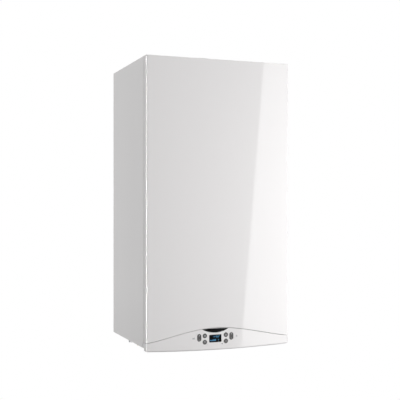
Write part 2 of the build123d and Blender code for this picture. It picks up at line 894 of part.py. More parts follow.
with BuildPart() as main_board_parts:
    with Locations((board_width * transformer_share, box_centre, board_top)):
        Box(*transformer_size, align=up)
    with Locations((board_width * relay_share, box_centre, board_top)):
        with GridLocations(relay_size[0], relay_pitch, 1, relay_count):
            Box(*relay_size, align=up)
    with Locations((0, box_centre + board_depth / 2 - socket_size[1], board_top)):
        with GridLocations(socket_pitch, socket_size[1], socket_count, 1):
            Box(*socket_size, align=up)
    with Locations((board_width * capacitor_share, box_centre, board_top)):
        with GridLocations(capacitor_pitch, capacitor_pitch, 2, 2):
            Cylinder(capacitor_radius, capacitor_height, align=up)
main_board_parts.part.label = "main_board_parts"
export_step(main_board_parts.part, "parts/main_board_parts.step")

# Pivot brackets: moulded blocks on the side panels with the bores for the control box's pins
with BuildPart() as pivot_brackets:
    for side in (-1, 1):
        with BuildSketch(Plane.YZ.offset(side * inner_half)):
            with Locations((pivot_y, pivot_z)):
                Circle(pivot_bracket_size / 2)
            with Locations((pivot_y, (pivot_z + casing_bottom) / 2)):
                Rectangle(pivot_bracket_size, pivot_z - casing_bottom)
            with Locations((pivot_y, casing_bottom - pivot_bracket_size)):
                Rectangle(2 * pivot_bracket_size, 2 * pivot_bracket_size, mode=Mode.SUBTRACT)
            with Locations((pivot_y, pivot_z)):
                Circle(pivot_radius + bore_play, mode=Mode.SUBTRACT)
        extrude(amount=-side * (inner_half - box_half_width - pivot_bracket_gap))
pivot_brackets.part.label = "pivot_brackets"
export_step(pivot_brackets.part, "parts/pivot_brackets.step")

# Outer air collar of the coaxial flue: a flanged tube through the top panel
with BuildPart() as air_collar:
    with Locations((0, flue_y, casing_top)):
        Cylinder(collar_radius + collar_flange, collar_flange_thickness, align=up)
    with Locations((0, flue_y, casing_top - collar_drop)):
        Cylinder(collar_radius, collar_drop + flue_rise, align=up)
        Cylinder(collar_radius - collar_wall, collar_drop + flue_rise, align=up, mode=Mode.SUBTRACT)
air_collar.part.label = "air_collar"
export_step(air_collar.part, "parts/air_collar.step")

# Screw caps of the two flue test points on the collar's flange
with BuildPart() as flue_test_caps:
    cap_ring = collar_radius + collar_flange - test_cap_radius - test_cap_inset
    with Locations((0, flue_y, casing_top + collar_flange_thickness)):
        with PolarLocations(cap_ring, 2):
            Cylinder(test_cap_radius, test_cap_height, align=up)
    fillet(flue_test_caps.faces().filter_by(Axis.Z).group_by(Axis.Z)[-1].edges(), test_cap_edge)
flue_test_caps.part.label = "flue_test_caps"
export_step(flue_test_caps.part, "parts/flue_test_caps.step")

# Blanking plate of the second air intake, with a rim that drops into its hole
with BuildPart() as intake_blank:
    with Locations((blank_x, flue_y, casing_top)):
        Cylinder(blank_radius + blank_lap, blank_thickness, align=up)
    with Locations((blank_x, flue_y, casing_top - sheet)):
        Cylinder(blank_radius - hole_play, sheet, align=up)
intake_blank.part.label = "intake_blank"
export_step(intake_blank.part, "parts/intake_blank.step")

# Expansion vessel: two pressed shells joined at a seam, flat where it sits on the back frame
vessel_z = casing_middle + vessel_above_middle
vessel_mid = frame_face + vessel_thickness / 2
vessel_pad = vessel_radius * vessel_pad_share

with BuildPart() as expansion_vessel:
    with BuildSketch(Plane.YZ):
        with BuildLine():
            rim_z = vessel_z + vessel_radius
            front_pad = Line((-vessel_front, vessel_z), (-vessel_front, vessel_z + vessel_pad))
            TangentArc(front_pad @ 1, (-vessel_mid - vessel_seam / 2, rim_z), tangent=(0, 1))
            rear_pad = Line((-frame_face, vessel_z), (-frame_face, vessel_z + vessel_pad))
            TangentArc(rear_pad @ 1, (-vessel_mid + vessel_seam / 2, rim_z), tangent=(0, 1))
            Line((-vessel_mid - vessel_seam / 2, rim_z), (-vessel_mid + vessel_seam / 2, rim_z))
            Line(rear_pad @ 0, front_pad @ 0)
        make_face()
    revolve(axis=Axis((0, 0, vessel_z), (0, 1, 0)))
expansion_vessel.part.label = "expansion_vessel"
export_step(expansion_vessel.part, "parts/expansion_vessel.step")

# Bridge: a bent steel band from the back frame round the vessel, which carries the heat exchanger
bridge_half = vessel_radius + vessel_seam

with BuildPart() as exchanger_bridge:
    with BuildSketch(Plane.XY.offset(vessel_z - bridge_height / 2)):
        outer_half = bridge_half + bridge_sheet
        Polygon(
            (-outer_half - flange, -frame_face),
            (-outer_half - flange, -frame_face - bridge_sheet),
            (-outer_half, -frame_face - bridge_sheet),
            (-outer_half, -bridge_front),
            (outer_half, -bridge_front),
            (outer_half, -frame_face - bridge_sheet),
            (outer_half + flange, -frame_face - bridge_sheet),
            (outer_half + flange, -frame_face),
            (bridge_half, -frame_face),
            (bridge_half, bridge_sheet - bridge_front),
            (-bridge_half, bridge_sheet - bridge_front),
            (-bridge_half, -frame_face),
            align=None,
        )
    extrude(amount=bridge_height)
exchanger_bridge.part.label = "exchanger_bridge"
export_step(exchanger_bridge.part, "parts/exchanger_bridge.step")

# Condensing heat exchanger: a ribbed steel drum with the exhaust duct, a sump and two water nipples
exchanger_z = casing_middle + exchanger_above_middle
rib_count = int(exchanger_length / exchanger_rib_pitch / 2)
nipple_radius = water_pipe_radius + exchanger_rib
nipple_z = exchanger_z - exchanger_radius - nipple_drop
exchanger_mid = -(bridge_front + exchanger_front) / 2
flow_nipple_x = exchanger_x - nipple_spread
return_nipple_x = exchanger_x + nipple_spread

with BuildPart() as heat_exchanger:
    with BuildSketch(Plane.XZ.offset(bridge_front)):
        with Locations((exchanger_x, exchanger_z)):
            Circle(exchanger_radius)
    extrude(amount=exchanger_length)
    for i in range(rib_count):
        groove_y = bridge_front + (i + 0.5) * exchanger_length / rib_count
        with BuildSketch(Plane.XZ.offset(groove_y - exchanger_rib_pitch / 2)):
            with Locations((exchanger_x, exchanger_z)):
                Circle(exchanger_radius)
                Circle(exchanger_radius - exchanger_rib, mode=Mode.SUBTRACT)
        extrude(amount=exchanger_rib_pitch, mode=Mode.SUBTRACT)
    with Locations((0, flue_y, exchanger_z)):
        Cylinder(duct_radius, duct_rise, align=up)
    with Locations((flow_nipple_x, exchanger_mid, nipple_z), (return_nipple_x, exchanger_mid, nipple_z)):
        Cylinder(nipple_radius, exchanger_z - nipple_z, align=up)
    with Locations((exchanger_x, exchanger_mid, nipple_z)):
        Cylinder(sump_radius, exchanger_z - nipple_z, align=up)
heat_exchanger.part.label = "heat_exchanger"
export_step(heat_exchanger.part, "parts/heat_exchanger.step")

# Exhaust spigot: the inner tube of the flue, from the exchanger's duct up through the collar
spigot_base = exchanger_z + duct_rise

with BuildPart() as exhaust_spigot:
    with Locations((0, flue_y, spigot_base)):
        spigot_length = casing_top + flue_rise - spigot_base
        Cylinder(flue_radius + flue_wall, spigot_length, align=up)
        Cylinder(flue_radius, spigot_length, align=up, mode=Mode.SUBTRACT)
exhaust_spigot.part.label = "exhaust_spigot"
export_step(exhaust_spigot.part, "parts/exhaust_spigot.step")

# Burner door: a cast disc on the exchanger's front, with the duct that brings the mixture from the fan
fan_z = casing_middle + fan_above_middle
duct_high = fan_z + fan_radius
duct_low = duct_high - inlet_height
fan_mouth_x = fan_x - fan_radius - inlet_reach

with BuildPart() as burner_door:
    with BuildSketch(Plane.XZ.offset(exchanger_front)):
        with Locations((exchanger_x, exchanger_z)):
            Circle(door_radius)
    extrude(amount=door_thickness)
    with BuildSketch(Plane.XZ.offset(door_front)):
        left = exchanger_x - inlet_width / 2
        with Locations(((left + fan_mouth_x) / 2, (duct_low + duct_high) / 2)):
            Rectangle(fan_mouth_x - left, inlet_height)
    extrude(amount=inlet_depth)
    fillet(burner_door.edges().filter_by(Axis.Z).sort_by(Axis.X)[0], inlet_depth / 2)
burner_door.part.label = "burner_door"
export_step(burner_door.part, "parts/burner_door.step")

# Nuts that hold the burner door
with BuildPart() as door_nuts:
    with BuildSketch(Plane.XZ.offset(door_front)):
        with Locations((exchanger_x, exchanger_z)):
            with PolarLocations(door_radius * door_nut_ring_share, door_nut_count):
                RegularPolygon(door_nut_size / 2, 6)
    extrude(amount=door_nut_height)
door_nuts.part.label = "door_nuts"
export_step(door_nuts.part, "parts/door_nuts.step")

# Ignition electrode: a ceramic body with a flange below the duct on the door
with BuildPart() as ignition_electrode:
    with BuildSketch(Plane.XZ.offset(door_front)):
        with Locations((exchanger_x, exchanger_z - electrode_drop)):
            SlotOverall(electrode_flange_length, electrode_flange_width)
    extrude(amount=electrode_flange_thickness)
    with BuildSketch(Plane.XZ.offset(door_front + electrode_flange_thickness)):
        with Locations((exchanger_x, exchanger_z - electrode_drop)):
            Circle(electrode_radius)
    extrude(amount=electrode_length)
ignition_electrode.part.label = "ignition_electrode"
export_step(ignition_electrode.part, "parts/ignition_electrode.step")

# Fan housing: a drum with a tangent outlet to the burner door's duct and a round inlet in its front
fan_back = door_front
fan_front = fan_back + inlet_depth
fan_cavity = fan_radius - fan_wall

with BuildPart() as fan_housing:
    with BuildSketch(Plane.XZ.offset(fan_back)):
        with Locations((fan_x, fan_z)):
            Circle(fan_radius)
        with Locations(((fan_mouth_x + fan_x) / 2, (duct_low + duct_high) / 2)):
            Rectangle(fan_x - fan_mouth_x, inlet_height)
    extrude(amount=inlet_depth)
    with BuildSketch(Plane.XZ.offset(fan_back + fan_wall)):
        with Locations((fan_x, fan_z)):
            Circle(fan_cavity)
    extrude(amount=inlet_depth - 2 * fan_wall, mode=Mode.SUBTRACT)
    with BuildSketch(Plane.XZ.offset(fan_back + fan_wall)):
        with Locations((fan_x, fan_z)):
            Circle(fan_inlet)
    extrude(amount=inlet_depth, mode=Mode.SUBTRACT)
    with BuildSketch(Plane.XZ.offset(fan_back)):
        with Locations((fan_x, fan_z)):
            Circle(fan_shaft + hole_play)
    extrude(amount=fan_wall, mode=Mode.SUBTRACT)
fan_housing.part.label = "fan_housing"
export_step(fan_housing.part, "parts/fan_housing.step")

# Fan motor: behind the housing, bored for the impeller's shaft
with BuildPart() as fan_motor:
    with BuildSketch(Plane.XZ.offset(fan_back - motor_length)):
        with Locations((fan_x, fan_z)):
            Circle(motor_radius)
    extrude(amount=motor_length)
    fillet(fan_motor.faces().sort_by(Axis.Y)[-1].edges(), motor_edge)
    with BuildSketch(Plane.XZ.offset(fan_back)):
        with Locations((fan_x, fan_z)):
            Circle(fan_shaft + bore_play)
    extrude(amount=-shaft_reach - cut, mode=Mode.SUBTRACT)
fan_motor.part.label = "fan_motor"
export_step(fan_motor.part, "parts/fan_motor.step")

# Fan impeller: a back plate with leaning blades on its hub and shaft
impeller_back = fan_back + fan_wall + impeller_gap
impeller_front = fan_front - fan_wall - fan_play
impeller_radius = fan_cavity - fan_play

with BuildPart() as fan_impeller:
    with BuildSketch(Plane.XZ.offset(impeller_back)):
        with Locations((fan_x, fan_z)):
            Circle(impeller_radius)
    extrude(amount=blade_thickness)
    with BuildSketch(Plane.XZ.offset(impeller_back)):
        with Locations((fan_x, fan_z)):
            Circle(hub_radius)
            with PolarLocations(impeller_radius * blade_middle_share, blade_count):
                Rectangle(impeller_radius * blade_length_share, blade_thickness, rotation=blade_lean)
    extrude(amount=impeller_front - impeller_back)
    with BuildSketch(Plane.XZ.offset(fan_back - shaft_reach)):
        with Locations((fan_x, fan_z)):
            Circle(fan_shaft)
    extrude(amount=impeller_back - fan_back + shaft_reach)
fan_impeller.part.label = "fan_impeller"
export_step(fan_impeller.part, "parts/fan_impeller.step")

# Gas and air mixer on the fan's inlet
mixer_front = fan_front + mixer_length
mixer_mid = -(fan_front + mixer_front) / 2

with BuildPart() as gas_mixer:
    with BuildSketch(Plane.XZ.offset(fan_front)):
        with Locations((fan_x, fan_z)):
            Circle(fan_inlet + mixer_wall)
            Circle(fan_inlet, mode=Mode.SUBTRACT)
    extrude(amount=mixer_length)
    with BuildSketch(Plane.XZ.offset(fan_front)):
        with Locations((fan_x, fan_z)):
            Circle(fan_inlet + 2 * mixer_wall)
            Circle(fan_inlet, mode=Mode.SUBTRACT)
    extrude(amount=mixer_wall / 2)
gas_mixer.part.label = "gas_mixer"
export_step(gas_mixer.part, "parts/gas_mixer.step")

# Gas valve: a cast block with two round regulator heads
valve_z = fan_z - gas_valve_drop
valve_top = valve_z + gas_valve_height
valve_y = gas_valve_set_back - casing_depth
valve_front = gas_valve_depth / 2 - valve_y

with BuildPart() as gas_valve:
    with Locations((fan_x, valve_y, valve_z)):
        Box(gas_valve_width, gas_valve_depth, gas_valve_height, align=up)
    fillet(gas_valve.edges().filter_by(Axis.Z), gas_valve_edge)
    with BuildSketch(Plane.XZ.offset(valve_front)):
        with Locations(*[(fan_x, (valve_z + valve_top + i * head_pitch) / 2) for i in (-1, 1)]):
            Circle(head_radius)
    extrude(amount=head_length)
gas_valve.part.label = "gas_valve"
export_step(gas_valve.part, "parts/gas_valve.step")

# Bottom tray: a pan between the side panels with holes for the unions, outlets, tap and glands
tray_floor = casing_bottom + sheet
tray_middle = -(tray_front + frame_face) / 2
union_y = -union_from_wall
union_spots = [(i * union_pitch, union_y) for i in (-2, -1, 0, 1, 2)]
union_threads = [thread_large, thread_small, thread_large, thread_small, thread_large]
condensate_spot = (trap_x, -condensate_from_wall)
tap_spot = (tap_x, -tap_from_wall)
gland_spots = [(gland_x, -tap_from_wall - gland_pitch / 2 + i * gland_pitch) for i in (0, 1)]

with BuildPart() as bottom_tray:
    with BuildSketch(Plane.XY.offset(casing_bottom)):
        with Locations((0, tray_middle)):
            Rectangle(2 * inner_half, tray_depth)
    extrude(amount=flange)
    with BuildSketch(Plane.XY.offset(tray_floor)):
        with Locations((0, tray_middle)):
            Rectangle(2 * (inner_half - sheet), tray_depth - 2 * sheet)
    extrude(amount=flange - sheet, mode=Mode.SUBTRACT)
    with BuildSketch(Plane.XY.offset(casing_bottom)):
        for spot, thread in zip(union_spots, union_threads):
            with Locations(spot):
                Circle(thread - union_shank_step + hole_play)
        with Locations(condensate_spot):
            Circle(condensate_radius + hole_play)
        with Locations(tap_spot):
            Circle(tap_radius + hole_play)
        with Locations(*gland_spots):
            Circle(gland_thread + hole_play)
    extrude(amount=sheet, mode=Mode.SUBTRACT)
bottom_tray.part.label = "bottom_tray"
export_step(bottom_tray.part, "parts/bottom_tray.step")

# Unions: brass stubs with a collar under the tray, a shank through it and a hexagonal nut on its floor
stub_bottom = casing_bottom - stub_length
union_top = casing_bottom + union_upper

with BuildPart() as pipe_unions:
    for spot, thread in zip(union_spots, union_threads):
        with BuildSketch(Plane.XY.offset(stub_bottom)):
            with Locations(spot):
                Circle(thread)
        extrude(amount=stub_length)
        with BuildSketch(Plane.XY.offset(casing_bottom - union_collar)):
            with Locations(spot):
                Circle(thread + nut_lap)
        extrude(amount=union_collar)
        with BuildSketch(Plane.XY.offset(casing_bottom)):
            with Locations(spot):
                Circle(thread - union_shank_step)
        extrude(amount=union_upper)
        with BuildSketch(Plane.XY.offset(tray_floor)):
            with Locations(spot):
                RegularPolygon(thread + nut_lap, 6, major_radius=False)
        extrude(amount=nut_height)
        with BuildSketch(Plane.XY.offset(stub_bottom)):
            with Locations(spot):
                Circle(thread - union_wall)
        extrude(amount=stub_length, mode=Mode.SUBTRACT)
pipe_unions.part.label = "pipe_unions"
export_step(pipe_unions.part, "parts/pipe_unions.step")


def pipe(points, radius, bend):
    """A round pipe along straight runs joined by bends."""
    with BuildPart() as made:
        with BuildLine() as route:
            FilletPolyline(*points, radius=bend)
        with BuildSketch(Plane(origin=route.line @ 0, z_dir=route.line % 0)):
            Circle(radius)
        sweep(path=route.line)
    return made.part


# Hydraulic blocks: brass castings on the outer unions, with the ports for what is screwed to them
block_top = union_top + block_height
block_mid_y = -(block_front - block_depth / 2)
port_y = -pump_from_wall - pump_body_length / 2

with BuildPart() as water_blocks:
    for side in (-1, 1):
        with Locations((side * 2 * union_pitch, block_mid_y, union_top)):
            Box(block_width, block_depth, block_height, align=up)
    fillet(water_blocks.edges().filter_by(Axis.Z), block_edge)
    with Locations(*[(side * 2 * union_pitch, port_y, block_top) for side in (-1, 1)]):
        Cylinder(neck_radius, neck_height, align=up)
water_blocks.part.label = "water_blocks"
export_step(water_blocks.part, "parts/water_blocks.step")

# Plate heat exchanger: a stack of brazed plates between the two blocks
block_gap = 2 * union_pitch - block_width / 2
plate_z = casing_bottom + plate_rise
stack_height = plate_count * plate_pitch
plate_mid_y = plate_depth / 2 - plate_front

with BuildPart() as plate_exchanger:
    with Locations((0, plate_mid_y, plate_z)):
        Box(2 * block_gap - 2 * plate_step, plate_depth - 2 * plate_step, stack_height, align=up)
    for z in (plate_z, plate_z + stack_height - end_plate):
        with Locations((0, plate_mid_y, z)):
            Box(2 * block_gap, plate_depth, end_plate, align=up)
    for i in range(1, plate_count, 2):
        with Locations((0, plate_mid_y, plate_z + i * plate_pitch)):
            Box(2 * block_gap - plate_step, plate_depth - plate_step, plate_pitch / 2, align=up)
plate_exchanger.part.label = "plate_exchanger"
export_step(plate_exchanger.part, "parts/plate_exchanger.step")

# Domestic hot and cold water pipes: from their unions forward into the plate heat exchanger
tail_z = plate_z + stack_height / 2
plate_back = plate_front - plate_depth + plate_step / 2
tail_bend = min(tail_z - union_top, plate_back - union_from_wall) * tail_bend_share

with BuildPart() as water_tails:
    for tail_x in (-union_pitch, union_pitch):
        corners = [(tail_x, union_y, union_top), (tail_x, union_y, tail_z), (tail_x, -plate_back, tail_z)]
        add(pipe(corners, tail_radius, tail_bend))
water_tails.part.label = "water_tails"
export_step(water_tails.part, "parts/water_tails.step")

# Circulation pump: a volute on the return block, its wet motor in front and the impeller inside
pump_x = 2 * union_pitch
pump_z = block_top + neck_height + pump_radius
pump_back = pump_from_wall
pump_front = pump_back + pump_body_length
pump_cavity = pump_radius - 2 * pump_wall
pump_outlet_z = pump_z + pump_radius + neck_height

with BuildPart() as pump_body:
    with BuildSketch(Plane.XZ.offset(pump_back)):
        with Locations((pump_x, pump_z)):
            Circle(pump_radius)
    extrude(amount=pump_body_length)
    with Locations((pump_x, port_y, pump_z)):
        Cylinder(neck_radius, pump_outlet_z - pump_z, align=up)
    with BuildSketch(Plane.XZ.offset(pump_front)):
        with Locations((pump_x, pump_z)):
            Circle(pump_cavity)
    extrude(amount=2 * pump_wall - pump_body_length, mode=Mode.SUBTRACT)
pump_body.part.label = "pump_body"
export_step(pump_body.part, "parts/pump_body.step")

with BuildPart() as pump_motor:
    with BuildSketch(Plane.XZ.offset(pump_front)):
        with Locations((pump_x, pump_z)):
            Circle(pump_radius)
    extrude(amount=pump_motor_length)
    fillet(pump_motor.faces().sort_by(Axis.Y)[0].edges(), pump_motor_edge)
    with BuildSketch(Plane.XZ.offset(pump_front)):
        with Locations((pump_x, pump_z)):
            Circle(pump_shaft + bore_play)
    extrude(amount=shaft_reach + cut, mode=Mode.SUBTRACT)
pump_motor.part.label = "pump_motor"
export_step(pump_motor.part, "parts/pump_motor.step")

pump_impeller_front = pump_front - impeller_gap
pump_impeller_radius = pump_cavity - fan_play

with BuildPart() as pump_impeller:
    with BuildSketch(Plane.XZ.offset(pump_impeller_front)):
        with Locations((pump_x, pump_z)):
            Circle(pump_impeller_radius)
    extrude(amount=-blade_thickness)
    with BuildSketch(Plane.XZ.offset(pump_impeller_front)):
        with Locations((pump_x, pump_z)):
            Circle(pump_hub_radius)
            with PolarLocations(pump_impeller_radius * vane_middle_share, vane_count):
                Rectangle(pump_impeller_radius * vane_length_share, blade_thickness, rotation=blade_lean)
    extrude(amount=-impeller_thickness)
    with BuildSketch(Plane.XZ.offset(pump_impeller_front)):
        with Locations((pump_x, pump_z)):
            Circle(pump_shaft)
    extrude(amount=pump_front - pump_impeller_front + shaft_reach)
pump_impeller.part.label = "pump_impeller"
export_step(pump_impeller.part, "parts/pump_impeller.step")

# Heating pipes: one from the left nipple down to the flow block, one from the pump up to the right nipple
flow_x = -2 * union_pitch
port_z = block_top + neck_height
flow_corners = [
    (flow_nipple_x, exchanger_mid, nipple_z),
    (flow_nipple_x, exchanger_mid, nipple_z - flow_run),
    (flow_x, port_y, port_z + flow_run),
    (flow_x, port_y, port_z),
]
return_corners = [
    (pump_x, port_y, pump_outlet_z),
    (pump_x, port_y, pump_outlet_z + flow_run),
    (return_nipple_x, exchanger_mid, nipple_z - return_run),
    (return_nipple_x, exchanger_mid, nipple_z),
]

with BuildPart() as heating_pipes:
    for corners in (flow_corners, return_corners):
        add(pipe(corners, water_pipe_radius, water_pipe_bend))
heating_pipes.part.label = "heating_pipes"
export_step(heating_pipes.part, "parts/heating_pipes.step")

# Gas pipes: from the union up to the valve, and from the valve to the mixer
gas_level = valve_z - gas_level_drop
mixer_low = fan_z - fan_inlet - mixer_wall
inlet_corners = [
    (0, union_y, union_top),
    (0, union_y, gas_level),
    (fan_x, valve_y, gas_level),
    (fan_x, valve_y, valve_z),
]
outlet_corners = [
    (fan_x, valve_y, valve_top),
    (fan_x, valve_y, valve_top + gas_outlet_run),
    (fan_x, mixer_mid, mixer_low - gas_mixer_run),
    (fan_x, mixer_mid, mixer_low - seat),
]

with BuildPart() as gas_pipes:
    for corners in (inlet_corners, outlet_corners):
        add(pipe(corners, gas_pipe_radius, gas_pipe_bend))
gas_pipes.part.label = "gas_pipes"
export_step(gas_pipes.part, "parts/gas_pipes.step")

# Diverter motor on the front of the flow block, and the safety valve on the front of the return block
diverter_z = casing_bottom + diverter_rise

with BuildPart() as diverter_motor:
    with BuildSketch(Plane.XZ.offset(block_front)):
        with Locations((flow_x, diverter_z + diverter_size / 2)):
            RectangleRounded(diverter_size, diverter_size, diverter_corner)
    extrude(amount=diverter_length)
diverter_motor.part.label = "diverter_motor"
export_step(diverter_motor.part, "parts/diverter_motor.step")

with BuildPart() as safety_valve:
    with BuildSketch(Plane.XZ.offset(block_front)):
        with Locations((pump_x, casing_bottom + relief_rise)):
            RegularPolygon(relief_radius, 6)
    extrude(amount=relief_length / 2)
    with BuildSketch(Plane.XZ.offset(block_front + relief_length / 2)):
        with Locations((pump_x, casing_bottom + relief_rise)):
            Circle(relief_cap_radius)
    extrude(amount=relief_length / 2)
safety_valve.part.label = "safety_valve"
export_step(safety_valve.part, "parts/safety_valve.step")

# Automatic air vent on top of the exchanger drum
vent_x = exchanger_x - exchanger_radius * vent_place_share
vent_seat_z = exchanger_z + exchanger_radius * vent_seat_share

with BuildPart() as air_vent:
    with Locations((vent_x, exchanger_mid, vent_seat_z)):
        Cylinder(vent_neck_radius, vent_neck_height, align=up)
    with Locations((vent_x, exchanger_mid, vent_seat_z + vent_neck_height)):
        Cylinder(vent_radius, vent_height, align=up)
    fillet(air_vent.faces().sort_by(Axis.Z)[-1].edges(), vent_edge)
    with BuildSketch(Plane.XZ.offset(bridge_front)):
        with Locations((exchanger_x, exchanger_z)):
            Circle(exchanger_radius)
    extrude(amount=exchanger_length, mode=Mode.SUBTRACT)
air_vent.part.label = "air_vent"
export_step(air_vent.part, "parts/air_vent.step")

# Condensate trap, the hose into it from the exchanger's sump, and its outlet through the tray
trap_y = -trap_from_wall
trap_bottom = casing_bottom + trap_rise
trap_top = trap_bottom + trap_height
outlet_z = trap_bottom + 2 * condensate_radius
outlet_end = casing_bottom - condensate_stub

with BuildPart() as condensate_trap:
    with Locations((trap_x, trap_y, trap_bottom)):
        Cylinder(trap_radius, trap_height, align=up)
    with Locations((trap_x, trap_y, trap_bottom + trap_band_rise)):
        Cylinder(trap_radius + trap_band, trap_band_height, align=up)
condensate_trap.part.label = "condensate_trap"
export_step(condensate_trap.part, "parts/condensate_trap.step")

trap_back = trap_y + trap_radius
outlet_pipe = pipe(
    [
        (trap_x, trap_back + seat, outlet_z),
        (trap_x, condensate_spot[1], outlet_z),
        (trap_x, condensate_spot[1], outlet_end),
    ],
    condensate_radius,
    condensate_bend,
)

with BuildPart() as condensate_outlet:
    add(outlet_pipe)
    with Locations((*condensate_spot, casing_bottom - union_collar)):
        Cylinder(condensate_radius + nut_lap, union_collar, align=up)
    with BuildSketch(Plane.XY.offset(outlet_end)):
        with Locations(condensate_spot):
            Circle(condensate_radius - condensate_wall)
    extrude(amount=stub_length, mode=Mode.SUBTRACT)
condensate_outlet.part.label = "condensate_outlet"
export_step(condensate_outlet.part, "parts/condensate_outlet.step")

condensate_hose = pipe(
    [
        (exchanger_x, exchanger_mid, nipple_z),
        (exchanger_x, exchanger_mid, nipple_z - hose_run),
        (trap_x, trap_y, trap_top + hose_run),
        (trap_x, trap_y, trap_top),
    ],
    hose_radius,
    hose_bend,
)
condensate_hose.label = "condensate_hose"
export_step(condensate_hose, "parts/condensate_hose.step")

# Filling tap: a short spindle housing under the tray with a lobed knob that turns on its pin
tap_bottom = casing_bottom - tap_length
knob_top = tap_bottom - seat
knob_bottom = knob_top - knob_height

with BuildPart() as filling_tap:
    with Locations((*tap_spot, tap_bottom)):
        Cylinder(tap_radius, tap_length + sheet + nut_height, align=up)
    with Locations((*tap_spot, tray_floor)):
        Cylinder(tap_flange_radius, nut_height, align=up)
    with Locations((*tap_spot, casing_bottom - tap_flange)):
        Cylinder(tap_flange_radius, tap_flange, align=up)
    with Locations((*tap_spot, tap_bottom - tap_pin_length)):
        Cylinder(tap_pin, tap_pin_length, align=up)
filling_tap.part.label = "filling_tap"
export_step(filling_tap.part, "parts/filling_tap.step")

with BuildPart() as filling_knob:
    with BuildSketch(Plane.XY.offset(knob_bottom)):
        with Locations(tap_spot):
            Circle(knob_radius)
            with PolarLocations(knob_radius, knob_lobes):
                Circle(knob_groove, mode=Mode.SUBTRACT)
    extrude(amount=knob_height)
    with BuildSketch(Plane.XY.offset(knob_top)):
        with Locations(tap_spot):
            Circle(tap_pin + bore_play)
    extrude(amount=-knob_bore_depth, mode=Mode.SUBTRACT)
filling_knob.part.label = "filling_knob"
export_step(filling_knob.part, "parts/filling_knob.step")

# Cable glands in the tray, empty
with BuildPart() as cable_glands:
    with BuildSketch(Plane.XY.offset(casing_bottom - gland_height)):
        with Locations(*gland_spots):
            RegularPolygon(gland_radius, 6, major_radius=False)
    extrude(amount=gland_height)
    with BuildSketch(Plane.XY.offset(casing_bottom)):
        with Locations(*gland_spots):
            Circle(gland_thread)
    extrude(amount=gland_height)
    with BuildSketch(Plane.XY.offset(casing_bottom - gland_height)):
        with Locations(*gland_spots):
            Circle(gland_hole)
    extrude(amount=2 * gland_height, mode=Mode.SUBTRACT)
cable_glands.part.label = "cable_glands"
export_step(cable_glands.part, "parts/cable_glands.step")

# Sprung clips behind the side panels' flanges, which grip the cover's studs
with BuildPart() as stud_clips:
    with BuildSketch(Plane.XZ.offset(clip_back)):
        with Locations(*stud_spots):
            RectangleRounded(clip_width, clip_height, stud_play)
            Circle(stud_radius + stud_play, mode=Mode.SUBTRACT)
    extrude(amount=body_front - sheet - clip_back)
stud_clips.part.label = "stud_clips"
export_step(stud_clips.part, "parts/stud_clips.step")
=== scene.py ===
"""Looks of the wall-hung gas boiler: finishes for its CAD pieces, and the small pieces that CAD
leaves out."""

import json
import math

import bmesh
import bpy
from mathutils import Matrix, Vector


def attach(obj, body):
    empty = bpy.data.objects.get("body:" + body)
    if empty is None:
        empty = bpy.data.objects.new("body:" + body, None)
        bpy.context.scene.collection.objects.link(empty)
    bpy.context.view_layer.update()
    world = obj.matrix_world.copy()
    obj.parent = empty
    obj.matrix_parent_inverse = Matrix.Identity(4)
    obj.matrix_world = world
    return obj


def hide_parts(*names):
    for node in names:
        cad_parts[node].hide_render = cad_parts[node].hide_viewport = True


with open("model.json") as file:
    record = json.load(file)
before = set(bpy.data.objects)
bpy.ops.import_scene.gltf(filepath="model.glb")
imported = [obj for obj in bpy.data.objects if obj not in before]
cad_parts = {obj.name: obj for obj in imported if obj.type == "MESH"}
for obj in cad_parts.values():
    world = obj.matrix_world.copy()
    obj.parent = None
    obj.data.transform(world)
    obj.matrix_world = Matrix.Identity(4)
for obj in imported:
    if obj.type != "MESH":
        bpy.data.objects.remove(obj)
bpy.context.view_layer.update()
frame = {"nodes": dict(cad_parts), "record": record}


# Camera: at the left of the boiler and level with its middle, a long lens turned to the right.
# Its place was worked out from the corners of the casing in the photograph.
image_size = 400
focal_pixels = 824.8
horizon_row = 207.6
camera_place = (-0.8135, -2.313, -0.3264)
camera_turn = math.radians(20.84)

camera = bpy.data.objects.new("camera", bpy.data.cameras.new("camera"))
bpy.context.collection.objects.link(camera)
camera.data.sensor_width = 36
camera.data.lens = camera.data.sensor_width * focal_pixels / image_size
camera.data.shift_y = (horizon_row - image_size / 2) / image_size
camera.location = camera_place
camera.rotation_euler = (math.radians(90), 0, -camera_turn)
bpy.context.scene.camera = camera
bpy.context.scene.view_settings.view_transform = "Standard"

# World: a plain white studio that darkens towards the floor. What is seen past the pieces is white,
# while the light that it gives them is lower, so that white paint does not clip.
room_light = 0.445
floor_share = 0.12
floor_dip, room_dip = -0.5, -0.1  # heights of the directions between which it darkens


def linear(code):
    """The linear colour of an sRGB hex code."""
    parts = [int(code[i:i + 2], 16) / 255 for i in (0, 2, 4)]
    return (*[c / 12.92 if c <= 0.04045 else ((c + 0.055) / 1.055) ** 2.4 for c in parts], 1)


def add_node(tree, kind, values=None, links=None, **settings):
    """Add a shader node with its settings, its sockets' values and the outputs that its inputs take."""
    node = tree.nodes.new("ShaderNode" + kind)
    for name, value in settings.items():
        setattr(node, name, value)
    for name, value in (values or {}).items():
        node.inputs[name].default_value = value
    for name, source in (links or {}).items():
        tree.links.new(source, node.inputs[name])
    return node


